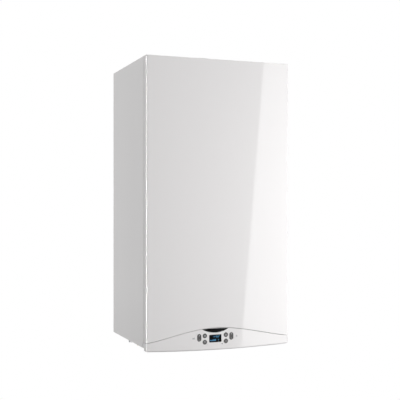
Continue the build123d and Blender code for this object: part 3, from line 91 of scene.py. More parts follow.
world = bpy.data.worlds.new("studio")
bpy.context.scene.world = world
world.use_nodes = True
tree = world.node_tree
tree.nodes.clear()
path = add_node(tree, "LightPath")
seen = add_node(tree, "Math", links={0: path.outputs["Is Camera Ray"],
                                     1: path.outputs["Is Transmission Ray"]}, operation="MAXIMUM")
mirrored = add_node(tree, "MapRange", {"To Min": room_light, "To Max": 1.0},
                    {"Value": path.outputs["Is Glossy Ray"]})
way = add_node(tree, "TexCoord")
height = add_node(tree, "SeparateXYZ", links={0: way.outputs["Generated"]})
floor = add_node(tree, "MapRange", {"From Min": floor_dip, "From Max": room_dip, "To Min": floor_share,
                                    "To Max": 1.0}, {"Value": height.outputs["Z"]})
lit = add_node(tree, "Math", links={0: mirrored.outputs[0], 1: floor.outputs[0]}, operation="MULTIPLY")
level = add_node(tree, "Math", links={0: seen.outputs[0], 1: lit.outputs[0]}, operation="MAXIMUM")
sky = add_node(tree, "Background", {"Color": linear("FFFFFF")}, {"Strength": level.outputs[0]})
add_node(tree, "OutputWorld", links={"Surface": sky.outputs[0]})

# Lamps: a tall soft box at the front right, leaning a little, whose left edge is mirrored in the gloss
# front as a slanting line; a lower one close on the right, which gives the front its rise from left
# to right; a weak one high on the left, for the pale upper part; one beside the boiler, which lights
# the left panel; and a strong strip at the far left, which only gloss shows, as a bright line down the
# round left corner, and which stands far enough round to stay out of the flat front.
# Each has its place, the point it faces, its lean in degrees, its width and height and its power.
lamps = [
    ("soft_box", (1.62, -2.50, -0.30), (1.62, 0.0, -0.30), -5.0, 1.06, 3.4, 32),
    ("low_box", (1.00, -1.20, -0.40), (0.1, -0.32, -0.45), 0.0, 0.4, 0.9, 10.5),
    ("high_box", (-0.75, -1.10, 0.50), (-0.15, -0.32, 0.0), 0.0, 0.5, 0.5, 1.2),
    ("side_box", (-2.2, 0.40, -0.3), (-0.2, -0.1, -0.3), 0.0, 0.6, 1.6, 9.5),
    ("left_strip", (-2.74, -0.86, -0.8), (-0.2, -0.32, -0.8), 0.0, 0.74, 5.0, 660),
]
for name, place, target, lean, width, height, power in lamps:
    light = bpy.data.lights.new(name, "AREA")
    light.shape = "RECTANGLE"
    light.size = width
    light.size_y = height
    light.energy = power
    lamp = bpy.data.objects.new(name, light)
    bpy.context.collection.objects.link(lamp)
    aim = (Vector(target) - Vector(place)).to_track_quat("-Z", "Y").to_matrix().to_4x4()
    lamp.matrix_world = Matrix.Translation(place) @ aim @ Matrix.Rotation(math.radians(lean), 4, "Z")
bpy.data.objects["left_strip"].visible_diffuse = False

# Bracket, back frame, bridge, top and tray: galvanised steel sheet, punched and bent. The zinc
# has set in flat crystals, which give dull patches of lighter and darker grey with soft gloss.
mm = 0.001
spangle = 11 * mm
cloud_width = spangle / 0.3


def new_material(name):
    """A material named for the real one, and its empty node tree."""
    material = bpy.data.materials.new(name)
    material.use_nodes = True
    material.node_tree.nodes.clear()
    return material, material.node_tree


def finish_nodes(material, *names):
    """Give CAD nodes their material."""
    for name in names:
        slots = frame["nodes"][name].data.materials
        slots.clear()
        slots.append(material)


zinc, tree = new_material("hot_dip_galvanised_steel")
where = add_node(tree, "TexCoord")
crystals = add_node(tree, "TexVoronoi", {"Scale": 1 / spangle}, {"Vector": where.outputs["Object"]})
cloud = add_node(tree, "TexNoise", {"Scale": 1 / cloud_width, "Detail": 3},
                 {"Vector": where.outputs["Object"]})
shade = add_node(tree, "Mix", {6: linear("A9ABAC"), 7: linear("C3C5C6")}, {0: crystals.outputs["Color"]},
                 data_type="RGBA")
dull = add_node(tree, "MapRange", {"To Min": 0.36, "To Max": 0.52}, {"Value": cloud.outputs["Fac"]})
surface = add_node(tree, "BsdfPrincipled", {"Metallic": 0.85},
                   {"Base Color": shade.outputs[2], "Roughness": dull.outputs[0]})
add_node(tree, "OutputMaterial", links={"Surface": surface.outputs[0]})
finish_nodes(zinc, "wall_bracket", "back_frame", "exchanger_bridge", "top_panel", "bottom_tray")

# Casing screws: self-tapping screws with low domed heads and a six-lobed recess, driven down through
# the top panel and up through the bottom tray. Their bright zinc plating mirrors more than the sheet.
head_radius = 3.6 * mm
head_height = 2.0 * mm
dome = 0.7 * head_height
recess_rim = 0.3 * mm
recess_radius = 1.6 * mm
recess_depth = 0.6 * head_height
lobes, lobe_share = 6, 0.15
top_reach, top_rows = 188 * mm, (-30 * mm, -150 * mm, -262 * mm)
tray_reach, tray_rows = 190 * mm, (-30 * mm, -78 * mm)
bloom_width = 1.11 * mm


def box_of(node):
    """The lowest and the highest corner of a CAD node's box, in metres."""
    places = [vert.co for vert in frame["nodes"][node].data.vertices]
    return [Vector([end(place[i] for place in places) for i in range(3)]) for end in (min, max)]


def new_piece(name, shape, material, body, sharp=30):
    """Make a bmesh into a piece that rides on a body, smooth but for edges sharper than some degrees."""
    for face in shape.faces:
        face.smooth = True
    for edge in shape.edges:
        edge.smooth = edge.calc_face_angle(math.pi) < math.radians(sharp)
    mesh = bpy.data.meshes.new(name)
    shape.to_mesh(mesh)
    shape.free()
    mesh.materials.append(material)
    piece = bpy.data.objects.new(name, mesh)
    bpy.context.collection.objects.link(piece)
    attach(piece, body)
    return piece


def top_face(shape):
    """The highest face of a bmesh."""
    return max(shape.faces, key=lambda face: face.calc_center_median().z)


def extrude(shape, faces, rise):
    """Extrude faces of a bmesh along Z."""
    parts = bmesh.ops.extrude_face_region(shape, geom=faces)["geom"]
    moved = [part for part in parts if isinstance(part, bmesh.types.BMVert)]
    bmesh.ops.translate(shape, vec=(0, 0, rise), verts=moved)


head = bmesh.new()
bmesh.ops.create_circle(head, cap_ends=True, segments=24, radius=head_radius)
extrude(head, head.faces[:], head_height)
bmesh.ops.bevel(head, geom=top_face(head).edges[:], offset=dome, segments=4, profile=0.5, affect="EDGES",
                material=-1)
recess = top_face(head)
bmesh.ops.inset_individual(head, faces=[recess], thickness=recess_rim)
for vert in recess.verts:
    turn = math.atan2(vert.co.y, vert.co.x)
    reach = recess_radius * (1 + lobe_share * math.cos(lobes * turn))
    vert.co.x, vert.co.y = reach * math.cos(turn), reach * math.sin(turn)
extrude(head, [recess], -recess_depth)
bmesh.ops.recalc_face_normals(head, faces=head.faces)
head_mesh = bpy.data.meshes.new("screw_head")
head.to_mesh(head_mesh)
head.free()

casing_top = box_of("top_panel")[1].z
casing_foot = box_of("bottom_tray")[0].z
screw_spots = [(side * top_reach, y, casing_top) for side in (1, -1) for y in top_rows]
screw_spots += [(side * tray_reach, y, casing_foot) for side in (1, -1) for y in tray_rows]
screws = bmesh.new()
for spot in screw_spots:
    known = len(screws.verts)
    screws.from_mesh(head_mesh)
    screws.verts.ensure_lookup_table()
    fresh = screws.verts[known:]
    if spot[2] == casing_foot:
        bmesh.ops.rotate(screws, matrix=Matrix.Rotation(math.pi, 3, "X"), verts=fresh)
    bmesh.ops.translate(screws, vec=spot, verts=fresh)

plating, tree = new_material("bright_zinc_plating")
where = add_node(tree, "TexCoord")
bloom = add_node(tree, "TexNoise", {"Scale": 1 / bloom_width, "Detail": 2},
                 {"Vector": where.outputs["Object"]})
dull = add_node(tree, "MapRange", {"To Min": 0.22, "To Max": 0.36}, {"Value": bloom.outputs["Fac"]})
surface = add_node(tree, "BsdfPrincipled", {"Base Color": linear("C2C4C4"), "Metallic": 1.0},
                   {"Roughness": dull.outputs[0]})
add_node(tree, "OutputMaterial", links={"Surface": surface.outputs[0]})
new_piece("casing_screws", screws, plating, "casing")

# Expansion vessel: two deep-drawn steel shells, welded at a seam and stove-enamelled red,
# with a low gloss and the faint ripple of the drawing.
ripple_width = 16.7 * mm

vessel_red, tree = new_material("red_stove_enamel")
where = add_node(tree, "TexCoord")
ripple = add_node(tree, "TexNoise", {"Scale": 1 / ripple_width, "Detail": 2},
                  {"Vector": where.outputs["Object"]})
shade = add_node(tree, "Mix", {6: linear("8E1F1A"), 7: linear("9E2A22")}, {0: ripple.outputs["Fac"]},
                 data_type="RGBA")
relief = add_node(tree, "Bump", {"Strength": 0.15, "Distance": 0.6 * mm}, {"Height": ripple.outputs["Fac"]})
surface = add_node(tree, "BsdfPrincipled", {"Roughness": 0.38},
                   {"Base Color": shade.outputs[2], "Normal": relief.outputs[0]})
add_node(tree, "OutputMaterial", links={"Surface": surface.outputs[0]})
finish_nodes(vessel_red, "expansion_vessel")

# Heat exchanger, plate exchanger, exhaust spigot, nuts and clips: stainless steel, rolled and
# brushed, so its gloss is drawn out along fine grooves, with faint wide stains from the weld's heat.
# The grooves are drawn coarser than real ones, to show.
groove = 0.9 * mm
groove_stretch = 0.06
stain_width = 55.6 * mm

stainless, tree = new_material("brushed_stainless_steel")
where = add_node(tree, "TexCoord")
drawn = add_node(tree, "Mapping", {"Scale": (groove_stretch, 1, 1)}, {"Vector": where.outputs["Object"]})
lines = add_node(tree, "TexNoise", {"Scale": 1 / groove, "Detail": 3}, {"Vector": drawn.outputs[0]})
stain = add_node(tree, "TexNoise", {"Scale": 1 / stain_width, "Detail": 4},
                 {"Vector": where.outputs["Object"]})
shade = add_node(tree, "Mix", {6: linear("B4B2AE"), 7: linear("C8C7C4")}, {0: stain.outputs["Fac"]},
                 data_type="RGBA")
dull = add_node(tree, "MapRange", {"To Min": 0.22, "To Max": 0.38}, {"Value": lines.outputs["Fac"]})
relief = add_node(tree, "Bump", {"Strength": 0.2, "Distance": 0.1 * mm}, {"Height": lines.outputs["Fac"]})
surface = add_node(tree, "BsdfPrincipled", {"Metallic": 1.0},
                   {"Base Color": shade.outputs[2], "Roughness": dull.outputs[0],
                    "Normal": relief.outputs[0]})
add_node(tree, "OutputMaterial", links={"Surface": surface.outputs[0]})
finish_nodes(stainless, "heat_exchanger", "plate_exchanger", "exhaust_spigot", "door_nuts", "stud_clips")

# Burner door, fan housing, mixer and gas valve: die-cast aluminium, shot-blasted, with an even
# grain that scatters the light. The grain is drawn coarser than the real one, to show.
grit = 1.2 * mm
flow_width = 40 * mm

cast, tree = new_material("die_cast_aluminium")
where = add_node(tree, "TexCoord")
grain = add_node(tree, "TexNoise", {"Scale": 1 / grit, "Detail": 2}, {"Vector": where.outputs["Object"]})
flow = add_node(tree, "TexNoise", {"Scale": 1 / flow_width, "Detail": 3},
                {"Vector": where.outputs["Object"]})
shade = add_node(tree, "Mix", {6: linear("9FA0A1"), 7: linear("B6B7B8")}, {0: flow.outputs["Fac"]},
                 data_type="RGBA")
relief = add_node(tree, "Bump", {"Strength": 0.35, "Distance": 0.2 * mm}, {"Height": grain.outputs["Fac"]})
surface = add_node(tree, "BsdfPrincipled", {"Metallic": 0.9, "Roughness": 0.48},
                   {"Base Color": shade.outputs[2], "Normal": relief.outputs[0]})
add_node(tree, "OutputMaterial", links={"Surface": surface.outputs[0]})
finish_nodes(cast, "burner_door", "fan_housing", "gas_mixer", "gas_valve")

# Water and gas pipes: drawn copper tube, bright from the drawing and slightly browned by heat, which
# also dulls it in soft clouds.
browning_width = 45.5 * mm

copper, tree = new_material("drawn_copper")
where = add_node(tree, "TexCoord")
heat = add_node(tree, "TexNoise", {"Scale": 1 / browning_width, "Detail": 5},
                {"Vector": where.outputs["Object"]})
shade = add_node(tree, "Mix", {6: linear("B5694A"), 7: linear("D9906C")}, {0: heat.outputs["Fac"]},
                 data_type="RGBA")
dull = add_node(tree, "MapRange", {"To Min": 0.38, "To Max": 0.20}, {"Value": heat.outputs["Fac"]})
surface = add_node(tree, "BsdfPrincipled", {"Metallic": 1.0},
                   {"Base Color": shade.outputs[2], "Roughness": dull.outputs[0]})
add_node(tree, "OutputMaterial", links={"Surface": surface.outputs[0]})
finish_nodes(copper, "water_tails", "heating_pipes", "gas_pipes")

# Unions, hydraulic blocks, vent, safety valve and tap: brass, forged and then turned where
# something screws on, with a thin even tarnish.
tarnish_width = 25 * mm

brass, tree = new_material("forged_brass")
where = add_node(tree, "TexCoord")
tarnish = add_node(tree, "TexNoise", {"Scale": 1 / tarnish_width, "Detail": 4},
                   {"Vector": where.outputs["Object"]})
shade = add_node(tree, "Mix", {6: linear("A88A4C"), 7: linear("C9AE6E")}, {0: tarnish.outputs["Fac"]},
                 data_type="RGBA")
relief = add_node(tree, "Bump", {"Strength": 0.1, "Distance": 0.2 * mm}, {"Height": tarnish.outputs["Fac"]})
surface = add_node(tree, "BsdfPrincipled", {"Metallic": 1.0, "Roughness": 0.33},
                   {"Base Color": shade.outputs[2], "Normal": relief.outputs[0]})
add_node(tree, "OutputMaterial", links={"Surface": surface.outputs[0]})
finish_nodes(brass, "pipe_unions", "water_blocks", "safety_valve", "air_vent", "filling_tap")

# Threads of the unions: a parallel pipe thread cut on each brass stub, from just above its end to a
# plain neck. Its grooves run round rather than in a helix, which the eye can't tell apart here.
thread_pitch = 1.8 * mm
thread_depth = 0.35 * mm
thread_root = -0.02 * mm
thread_turns = 9
thread_end = 0.6 * mm
mounts = {mount["name"]: mount for mount in frame["record"]["mounts"]}

threads = bmesh.new()
for union in [mount for name, mount in mounts.items() if name.endswith("_union")]:
    x, y, z = union["pos_m"]
    foot = z - union["dims"]["length_mm"] / 2 * mm + thread_end
    line = []
    for i in range(2 * thread_turns + 1):
        reach = union["dims"]["r_mm"] * mm + (thread_depth if i % 2 else thread_root)
        line.append(threads.verts.new((x + reach, y, foot + i * thread_pitch / 2)))
    edges = [threads.edges.new(pair) for pair in zip(line, line[1:])]
    bmesh.ops.spin(threads, geom=line + edges, cent=(x, y, 0), axis=(0, 0, 1), angle=2 * math.pi, steps=40,
                   use_merge=True)
bmesh.ops.recalc_face_normals(threads, faces=threads.faces)
new_piece("union_threads", threads, brass, "casing")

# Pump: a cast-iron volute and motor shell, with the rough skin of the sand mould under a matt black
# coating. The sand's grain is drawn coarser than the real one, to show.
sand = 2 * mm

iron, tree = new_material("black_coated_cast_iron")
where = add_node(tree, "TexCoord")
skin = add_node(tree, "TexNoise", {"Scale": 1 / sand, "Detail": 3}, {"Vector": where.outputs["Object"]})
relief = add_node(tree, "Bump", {"Strength": 0.5, "Distance": 0.4 * mm}, {"Height": skin.outputs["Fac"]})
shade = add_node(tree, "Mix", {6: linear("1D1E20"), 7: linear("2C2D30")}, {0: skin.outputs["Fac"]},
                 data_type="RGBA")
surface = add_node(tree, "BsdfPrincipled", {"Roughness": 0.55},
                   {"Base Color": shade.outputs[2], "Normal": relief.outputs[0]})
add_node(tree, "OutputMaterial", links={"Surface": surface.outputs[0]})
finish_nodes(iron, "pump_body", "pump_motor")

# Motors, impellers, pivot blocks and glands: black glass-filled nylon, moulded with a fine
# spark-eroded texture that keeps it matt. The texture is drawn coarser than the real one, to show.
spark_texture = 0.714 * mm

nylon, tree = new_material("glass_filled_nylon")
where = add_node(tree, "TexCoord")
texture = add_node(tree, "TexNoise", {"Scale": 1 / spark_texture, "Detail": 2},
                   {"Vector": where.outputs["Object"]})
relief = add_node(tree, "Bump", {"Strength": 0.25, "Distance": 0.1 * mm}, {"Height": texture.outputs["Fac"]})
shade = add_node(tree, "Mix", {6: linear("17181A"), 7: linear("232427")}, {0: texture.outputs["Fac"]},
                 data_type="RGBA")
surface = add_node(tree, "BsdfPrincipled", {"Roughness": 0.5},
                   {"Base Color": shade.outputs[2], "Normal": relief.outputs[0]})
add_node(tree, "OutputMaterial", links={"Surface": surface.outputs[0]})
finish_nodes(nylon, "fan_motor", "fan_impeller", "pump_impeller", "diverter_motor", "pivot_brackets",
             "cable_glands", "flue_test_caps", "main_board_parts")

# Control box and lid: dark grey flame-retardant ABS, moulded with an even leather-fine texture,
# which breaks up the gloss without hiding the shape.
leather_texture = 0.909 * mm

box_grey, tree = new_material("flame_retardant_abs")
where = add_node(tree, "TexCoord")
texture = add_node(tree, "TexNoise", {"Scale": 1 / leather_texture, "Detail": 2},
                   {"Vector": where.outputs["Object"]})
relief = add_node(tree, "Bump", {"Strength": 0.25, "Distance": 0.15 * mm}, {"Height": texture.outputs["Fac"]})
shade = add_node(tree, "Mix", {6: linear("424346"), 7: linear("4E4F52")}, {0: texture.outputs["Fac"]},
                 data_type="RGBA")
surface = add_node(tree, "BsdfPrincipled", {"Roughness": 0.45},
                   {"Base Color": shade.outputs[2], "Normal": relief.outputs[0]})
add_node(tree, "OutputMaterial", links={"Surface": surface.outputs[0]})
finish_nodes(box_grey, "control_box", "control_box_lid")

# Circuit boards: fibreglass laminate, printed with green solder mask over etched copper tracks, which
# show through it as a slightly paler lattice, drawn coarser than real tracks.
track_spacing = 4.55 * mm

mask_green, tree = new_material("solder_masked_laminate")
where = add_node(tree, "TexCoord")
tracks = add_node(tree, "TexBrick", {"Scale": 1 / track_spacing, "Mortar Size": 0.02,
                                     "Color1": linear("134A2B"), "Color2": linear("17532F"),
                                     "Mortar": linear("2C7A48")}, {"Vector": where.outputs["Object"]})
surface = add_node(tree, "BsdfPrincipled", {"Roughness": 0.3}, {"Base Color": tracks.outputs["Color"]})
add_node(tree, "OutputMaterial", links={"Surface": surface.outputs[0]})
finish_nodes(mask_green, "display_board", "main_board")

# Flue collar and blanking plate: white polypropylene, injection moulded. It is slightly waxy, so it
# keeps a soft sheen, with faint marks of the melt's flow.
flow_width = 11.1 * mm

waxy_white, tree = new_material("white_polypropylene")
where = add_node(tree, "TexCoord")
flow = add_node(tree, "TexNoise", {"Scale": 1 / flow_width, "Detail": 2},
                {"Vector": where.outputs["Object"]})
shade = add_node(tree, "Mix", {6: linear("DADAD7"), 7: linear("E2E2E0")}, {0: flow.outputs["Fac"]},
                 data_type="RGBA")
surface = add_node(tree, "BsdfPrincipled", {"Roughness": 0.36}, {"Base Color": shade.outputs[2]})
add_node(tree, "OutputMaterial", links={"Surface": surface.outputs[0]})
finish_nodes(waxy_white, "air_collar", "intake_blank")

# Condensate trap and outlet: grey polypropylene, the usual colour of drain parts, injection moulded
# like the collar and a little duller.
drain_grey, tree = new_material("grey_polypropylene")
where = add_node(tree, "TexCoord")
flow = add_node(tree, "TexNoise", {"Scale": 1 / flow_width, "Detail": 2},
                {"Vector": where.outputs["Object"]})
shade = add_node(tree, "Mix", {6: linear("85888B"), 7: linear("909396")}, {0: flow.outputs["Fac"]},
                 data_type="RGBA")
surface = add_node(tree, "BsdfPrincipled", {"Roughness": 0.4}, {"Base Color": shade.outputs[2]})
add_node(tree, "OutputMaterial", links={"Surface": surface.outputs[0]})
finish_nodes(drain_grey, "condensate_trap", "condensate_outlet")

# Condensate hose: black EPDM rubber, extruded and cured, with a dry bloom that greys it in patches
# and leaves it without gloss.
bloom_width = 8.33 * mm

rubber, tree = new_material("epdm_rubber")
where = add_node(tree, "TexCoord")
bloom = add_node(tree, "TexNoise", {"Scale": 1 / bloom_width, "Detail": 4},
                 {"Vector": where.outputs["Object"]})
shade = add_node(tree, "Mix", {6: linear("1E1E1E"), 7: linear("303030")}, {0: bloom.outputs["Fac"]},
                 data_type="RGBA")
surface = add_node(tree, "BsdfPrincipled", {"Roughness": 0.7}, {"Base Color": shade.outputs[2]})
add_node(tree, "OutputMaterial", links={"Surface": surface.outputs[0]})
finish_nodes(rubber, "condensate_hose")

# Flue seal: a ring of the same rubber, moulded with two lips and seated inside the mouth of the
# exhaust spigot. Its outline gives how far each corner lies from the bore and above the ring's foot.
seal_drop = 13 * mm
seal_outline = [(0, 0), (-0.8, 0.4), (-1.0, 2.0), (-1.9, 3.1), (-1.0, 3.6), (-0.9, 5.6), (-1.9, 6.7),
                (-1.0, 7.4), (-0.6, 9.2), (0, 9.6)]

flue = mounts["flue_inner"]
x, y, z = flue["pos_m"]
foot = z + flue["dims"]["length_mm"] / 2 * mm - seal_drop
seal = bmesh.new()
bore = flue["dims"]["r_mm"]
line = [seal.verts.new((x + (bore + out) * mm, y, foot + up * mm)) for out, up in seal_outline]
edges = [seal.edges.new(pair) for pair in zip(line, line[1:])]
bmesh.ops.spin(seal, geom=line + edges, cent=(x, y, 0), axis=(0, 0, 1), angle=2 * math.pi, steps=64,
               use_merge=True)
bmesh.ops.recalc_face_normals(seal, faces=seal.faces)
bmesh.ops.reverse_faces(seal, faces=seal.faces)  # to face the flue's middle, as the ring has no back
new_piece("flue_seal", seal, rubber, "casing", sharp=70)

# Ignition electrode: a body of fired alumina under a clear glaze, which makes it the one sharp
# gloss inside the casing.
glaze_width = 5 * mm

glaze, tree = new_material("glazed_alumina")
where = add_node(tree, "TexCoord")
flow = add_node(tree, "TexNoise", {"Scale": 1 / glaze_width, "Detail": 2},
                {"Vector": where.outputs["Object"]})
shade = add_node(tree, "Mix", {6: linear("E3DFD2"), 7: linear("EEEBE1")}, {0: flow.outputs["Fac"]},
                 data_type="RGBA")
surface = add_node(tree, "BsdfPrincipled", {"Roughness": 0.15}, {"Base Color": shade.outputs[2]})
add_node(tree, "OutputMaterial", links={"Surface": surface.outputs[0]})
finish_nodes(glaze, "ignition_electrode")

# Foam inside the cover: grey melamine foam with open pores, cut from a block, and quite dull. The
# pits of the pores are painted darker, as painted shade. They are drawn larger than real ones, to show.
pore = 2 * mm

foam, tree = new_material("melamine_foam")
where = add_node(tree, "TexCoord")
pores_and_shade = add_node(tree, "TexVoronoi", {"Scale": 1 / pore}, {"Vector": where.outputs["Object"]})
# painted shade: the pore pits, low in the bump, get the darker grey and the rims the lighter one
shade = add_node(tree, "Mix", {6: linear("3C3D3F"), 7: linear("66686A")}, {0: pores_and_shade.outputs["Distance"]},
                 data_type="RGBA")
relief = add_node(tree, "Bump", {"Strength": 0.6, "Distance": 0.6 * mm},
                  {"Height": pores_and_shade.outputs["Distance"]})
surface = add_node(tree, "BsdfPrincipled", {"Roughness": 0.9},
                   {"Base Color": shade.outputs[2], "Normal": relief.outputs[0]})
add_node(tree, "OutputMaterial", links={"Surface": surface.outputs[0]})
finish_nodes(foam, "cover_insulation")

# Side panels and front cover: steel sheet with a gloss white polyester powder coat, sprayed and
# stoved. It mirrors the studio softly, with the faint orange peel that the powder leaves as it melts.
peel = 4 * mm

powder, tree = new_material("gloss_white_powder_coat")
where = add_node(tree, "TexCoord")
wave = add_node(tree, "TexNoise", {"Scale": 1 / peel, "Detail": 1}, {"Vector": where.outputs["Object"]})
relief = add_node(tree, "Bump", {"Strength": 0.01, "Distance": 0.1 * mm}, {"Height": wave.outputs["Fac"]})
surface = add_node(tree, "BsdfPrincipled", {"Base Color": linear("E4E2E2"), "Roughness": 0.03},
                   {"Normal": relief.outputs[0]})
add_node(tree, "OutputMaterial", links={"Surface": surface.outputs[0]})
finish_nodes(powder, "side_panel_left", "side_panel_right")

weld = 0.001 * mm
body_of = {node: body for body, group in frame["record"]["behaviour"]["bodies"].items() for node in group}


def rounded_skin(node, material, bevel=0.0, sharp=26):
    """Put in a CAD node's place a copy with its triangles merged and its curves shaded round."""
    shape = bmesh.new()
    shape.from_mesh(frame["nodes"][node].data)
    bmesh.ops.remove_doubles(shape, verts=shape.verts, dist=weld)
    skin = new_piece(node + "_skin", shape, material, body_of[node], sharp=sharp)
    if bevel:
        edge = skin.modifiers.new("edge", "BEVEL")
        edge.width = bevel
        edge.segments = 3
        edge.limit_method = "ANGLE"
        edge.angle_limit = math.radians(50)
    flat = skin.modifiers.new("flat", "WEIGHTED_NORMAL")
    flat.keep_sharp = True
    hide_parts(node)


rounded_skin("front_cover", powder)

# Control fascia: white ABS, injection moulded in a polished tool, so its colour and gloss match the
# cover's, with the same slight wave in what it mirrors.
abs_white, tree = new_material("gloss_white_abs")
where = add_node(tree, "TexCoord")
wave = add_node(tree, "TexNoise", {"Scale": 1 / peel, "Detail": 1}, {"Vector": where.outputs["Object"]})
relief = add_node(tree, "Bump", {"Strength": 0.01, "Distance": 0.1 * mm}, {"Height": wave.outputs["Fac"]})
surface = add_node(tree, "BsdfPrincipled", {"Base Color": linear("E4E2E2"), "Roughness": 0.03},
                   {"Normal": relief.outputs[0]})
add_node(tree, "OutputMaterial", links={"Surface": surface.outputs[0]})
rounded_skin("control_fascia", abs_white, sharp=40)

# Marks on the fascia: grey pad-printing ink, matt and thin, its grain drawn coarser than the real one.
# A radiator and a tap's drop stand beside the rocker keys, and a short tick and a ring for the status
# lamp under the round keys, each placed in millimetres from the middle of its key.
ink_depth = 0.03 * mm
under_depth = 0.8 * ink_depth  # of a stroke that another crosses, so that no two faces share a plane
ink_grain = 0.4 * mm
column_pitch, rail_rise = 1.7, 1.2


def spot_of(node):
    """The x and z of the middle of a CAD node's box, in millimetres."""
    low, high = box_of(node)
    return (low.x + high.x) / 2 / mm, (low.z + high.z) / 2 / mm


def front_of(node):
    """How far a CAD node stands out from the wall, in metres."""
    return -box_of(node)[0].y


def bar(shape, x, z, width, height, front, depth, turn=0.0):
    """Add a flat bar, placed and sized in millimetres, on a face whose front is given in metres."""
    place = Matrix.Translation((x * mm, -front - depth / 2, z * mm))
    size = Matrix.Diagonal((width * mm, depth, height * mm, 1))
    bmesh.ops.create_cube(shape, size=1, matrix=place @ Matrix.Rotation(math.radians(turn), 4, "Y") @ size)


def arc(shape, x, z, radius, line, front, depth, start=0.0, sweep=360.0):
    """Add a flat ring, or a part of one, round x and z, given like a bar's place and size."""
    turn = math.radians(start)
    corners = [(radius + i * line / 2, j) for i, j in ((-1, 0), (1, 0), (1, 1), (-1, 1))]
    verts = [shape.verts.new(((x + reach * math.sin(turn)) * mm, -front - j * depth,
                              (z + reach * math.cos(turn)) * mm)) for reach, j in corners]
    edges = [shape.edges.new((verts[i], verts[(i + 1) % 4])) for i in range(4)]
    whole = sweep >= 360
    ends = [] if whole else [shape.faces.new(verts)]
    bmesh.ops.spin(shape, geom=verts + edges + ends, cent=(x * mm, 0, z * mm), axis=(0, 1, 0),
                   angle=math.radians(sweep), steps=max(8, round(sweep / 12)), use_merge=whole)


ink, tree = new_material("pad_printing_ink")
where = add_node(tree, "TexCoord")
cover = add_node(tree, "TexNoise", {"Scale": 1 / ink_grain, "Detail": 2},
                 {"Vector": where.outputs["Object"]})
shade = add_node(tree, "Mix", {6: linear("787A7E"), 7: linear("888A8E")}, {0: cover.outputs["Fac"]},
                 data_type="RGBA")
surface = add_node(tree, "BsdfPrincipled", {"Roughness": 0.5}, {"Base Color": shade.outputs[2]})
add_node(tree, "OutputMaterial", links={"Surface": surface.outputs[0]})

fascia_front = front_of("control_fascia")
marks = bmesh.new()
x, z = spot_of("rocker_left")
radiator_x, radiator_z = x - 15.55, z - 1.2
for i in range(4):
    bar(marks, radiator_x + column_pitch * (i - 1.5), radiator_z, 0.7, 4.0, fascia_front, ink_depth)
for side in (1, -1):
    bar(marks, radiator_x, radiator_z + side * rail_rise, 6.4, 0.5, fascia_front, under_depth)
x, z = spot_of("rocker_right")
drop_x, drop_z = x + 15.0, z - 1.4
arc(marks, drop_x, drop_z, 1.6, 0.8, fascia_front, ink_depth, 40, 280)
bar(marks, drop_x - 0.65, drop_z + 2.2, 0.8, 2.8, fascia_front, ink_depth, 35)
bar(marks, drop_x + 0.65, drop_z + 2.2, 0.8, 2.8, fascia_front, under_depth, -35)
x, z = spot_of("button_lower_left")
bar(marks, x + 6.2, z - 6.4, 0.6, 3.0, fascia_front, ink_depth, 35)
x, z = spot_of("button_lower_right")
lamp_x, lamp_z = x - 10.6, z - 6.4
arc(marks, lamp_x, lamp_z, 1.5, 0.4, fascia_front, ink_depth)
bmesh.ops.recalc_face_normals(marks, faces=marks.faces)
new_piece("fascia_marks", marks, ink, "control_panel")

# Status lamp: a low dome of smoked acrylic in the middle of its ring. It is off, so it is dark, with
# one small highlight.
lamp_radius = 1.0 * mm
lamp_rise = 0.35
haze_width = 1.11 * mm

lamp_dome = bmesh.new()
place = Matrix.Translation((lamp_x * mm, -fascia_front, lamp_z * mm))
bmesh.ops.create_uvsphere(lamp_dome, u_segments=16, v_segments=10, radius=lamp_radius,
                          matrix=place @ Matrix.Diagonal((1, lamp_rise, 1, 1)))
lamp_lens, tree = new_material("dark_lamp_lens")
where = add_node(tree, "TexCoord")
haze = add_node(tree, "TexNoise", {"Scale": 1 / haze_width, "Detail": 2},
                {"Vector": where.outputs["Object"]})
dull = add_node(tree, "MapRange", {"To Min": 0.1, "To Max": 0.2}, {"Value": haze.outputs["Fac"]})
surface = add_node(tree, "BsdfPrincipled", {"Base Color": linear("3A3B3D")}, {"Roughness": dull.outputs[0]})
add_node(tree, "OutputMaterial", links={"Surface": surface.outputs[0]})
new_piece("status_lamp", lamp_dome, lamp_lens, "control_panel", sharp=60)

# Badge and the display's housing: black acrylic with a moulded gloss. The badge is bare, pressed into
# its pocket, and mirrors little, so both stay black.
haze_width = 6.67 * mm

piano, tree = new_material("black_acrylic")
where = add_node(tree, "TexCoord")
haze = add_node(tree, "TexNoise", {"Scale": 1 / haze_width, "Detail": 3},
                {"Vector": where.outputs["Object"]})
dull = add_node(tree, "MapRange", {"To Min": 0.12, "To Max": 0.2}, {"Value": haze.outputs["Fac"]})
surface = add_node(tree, "BsdfPrincipled", {"Base Color": linear("060607"), "Specular IOR Level": 0.1},
                   {"Roughness": dull.outputs[0]})
add_node(tree, "OutputMaterial", links={"Surface": surface.outputs[0]})
rounded_skin("badge_plate", piano, bevel=0.15 * mm)
finish_nodes(piano, "display_module")

# Display picture: lit segments of a liquid crystal display, blue on black: a figure of two digits with
# its degree ring, a radiator sign, a row of level bars and a small ring. Their places and sizes are
# in millimetres from the middle of the display.
picture_front = front_of("display_module")
picture_depth = 0.05 * mm
segment_length, segment_width = 2.0, 0.6
digit_half, digit_reach = 2.3, 1.3
upper_line = 4.4
spread_width = 6.25 * mm

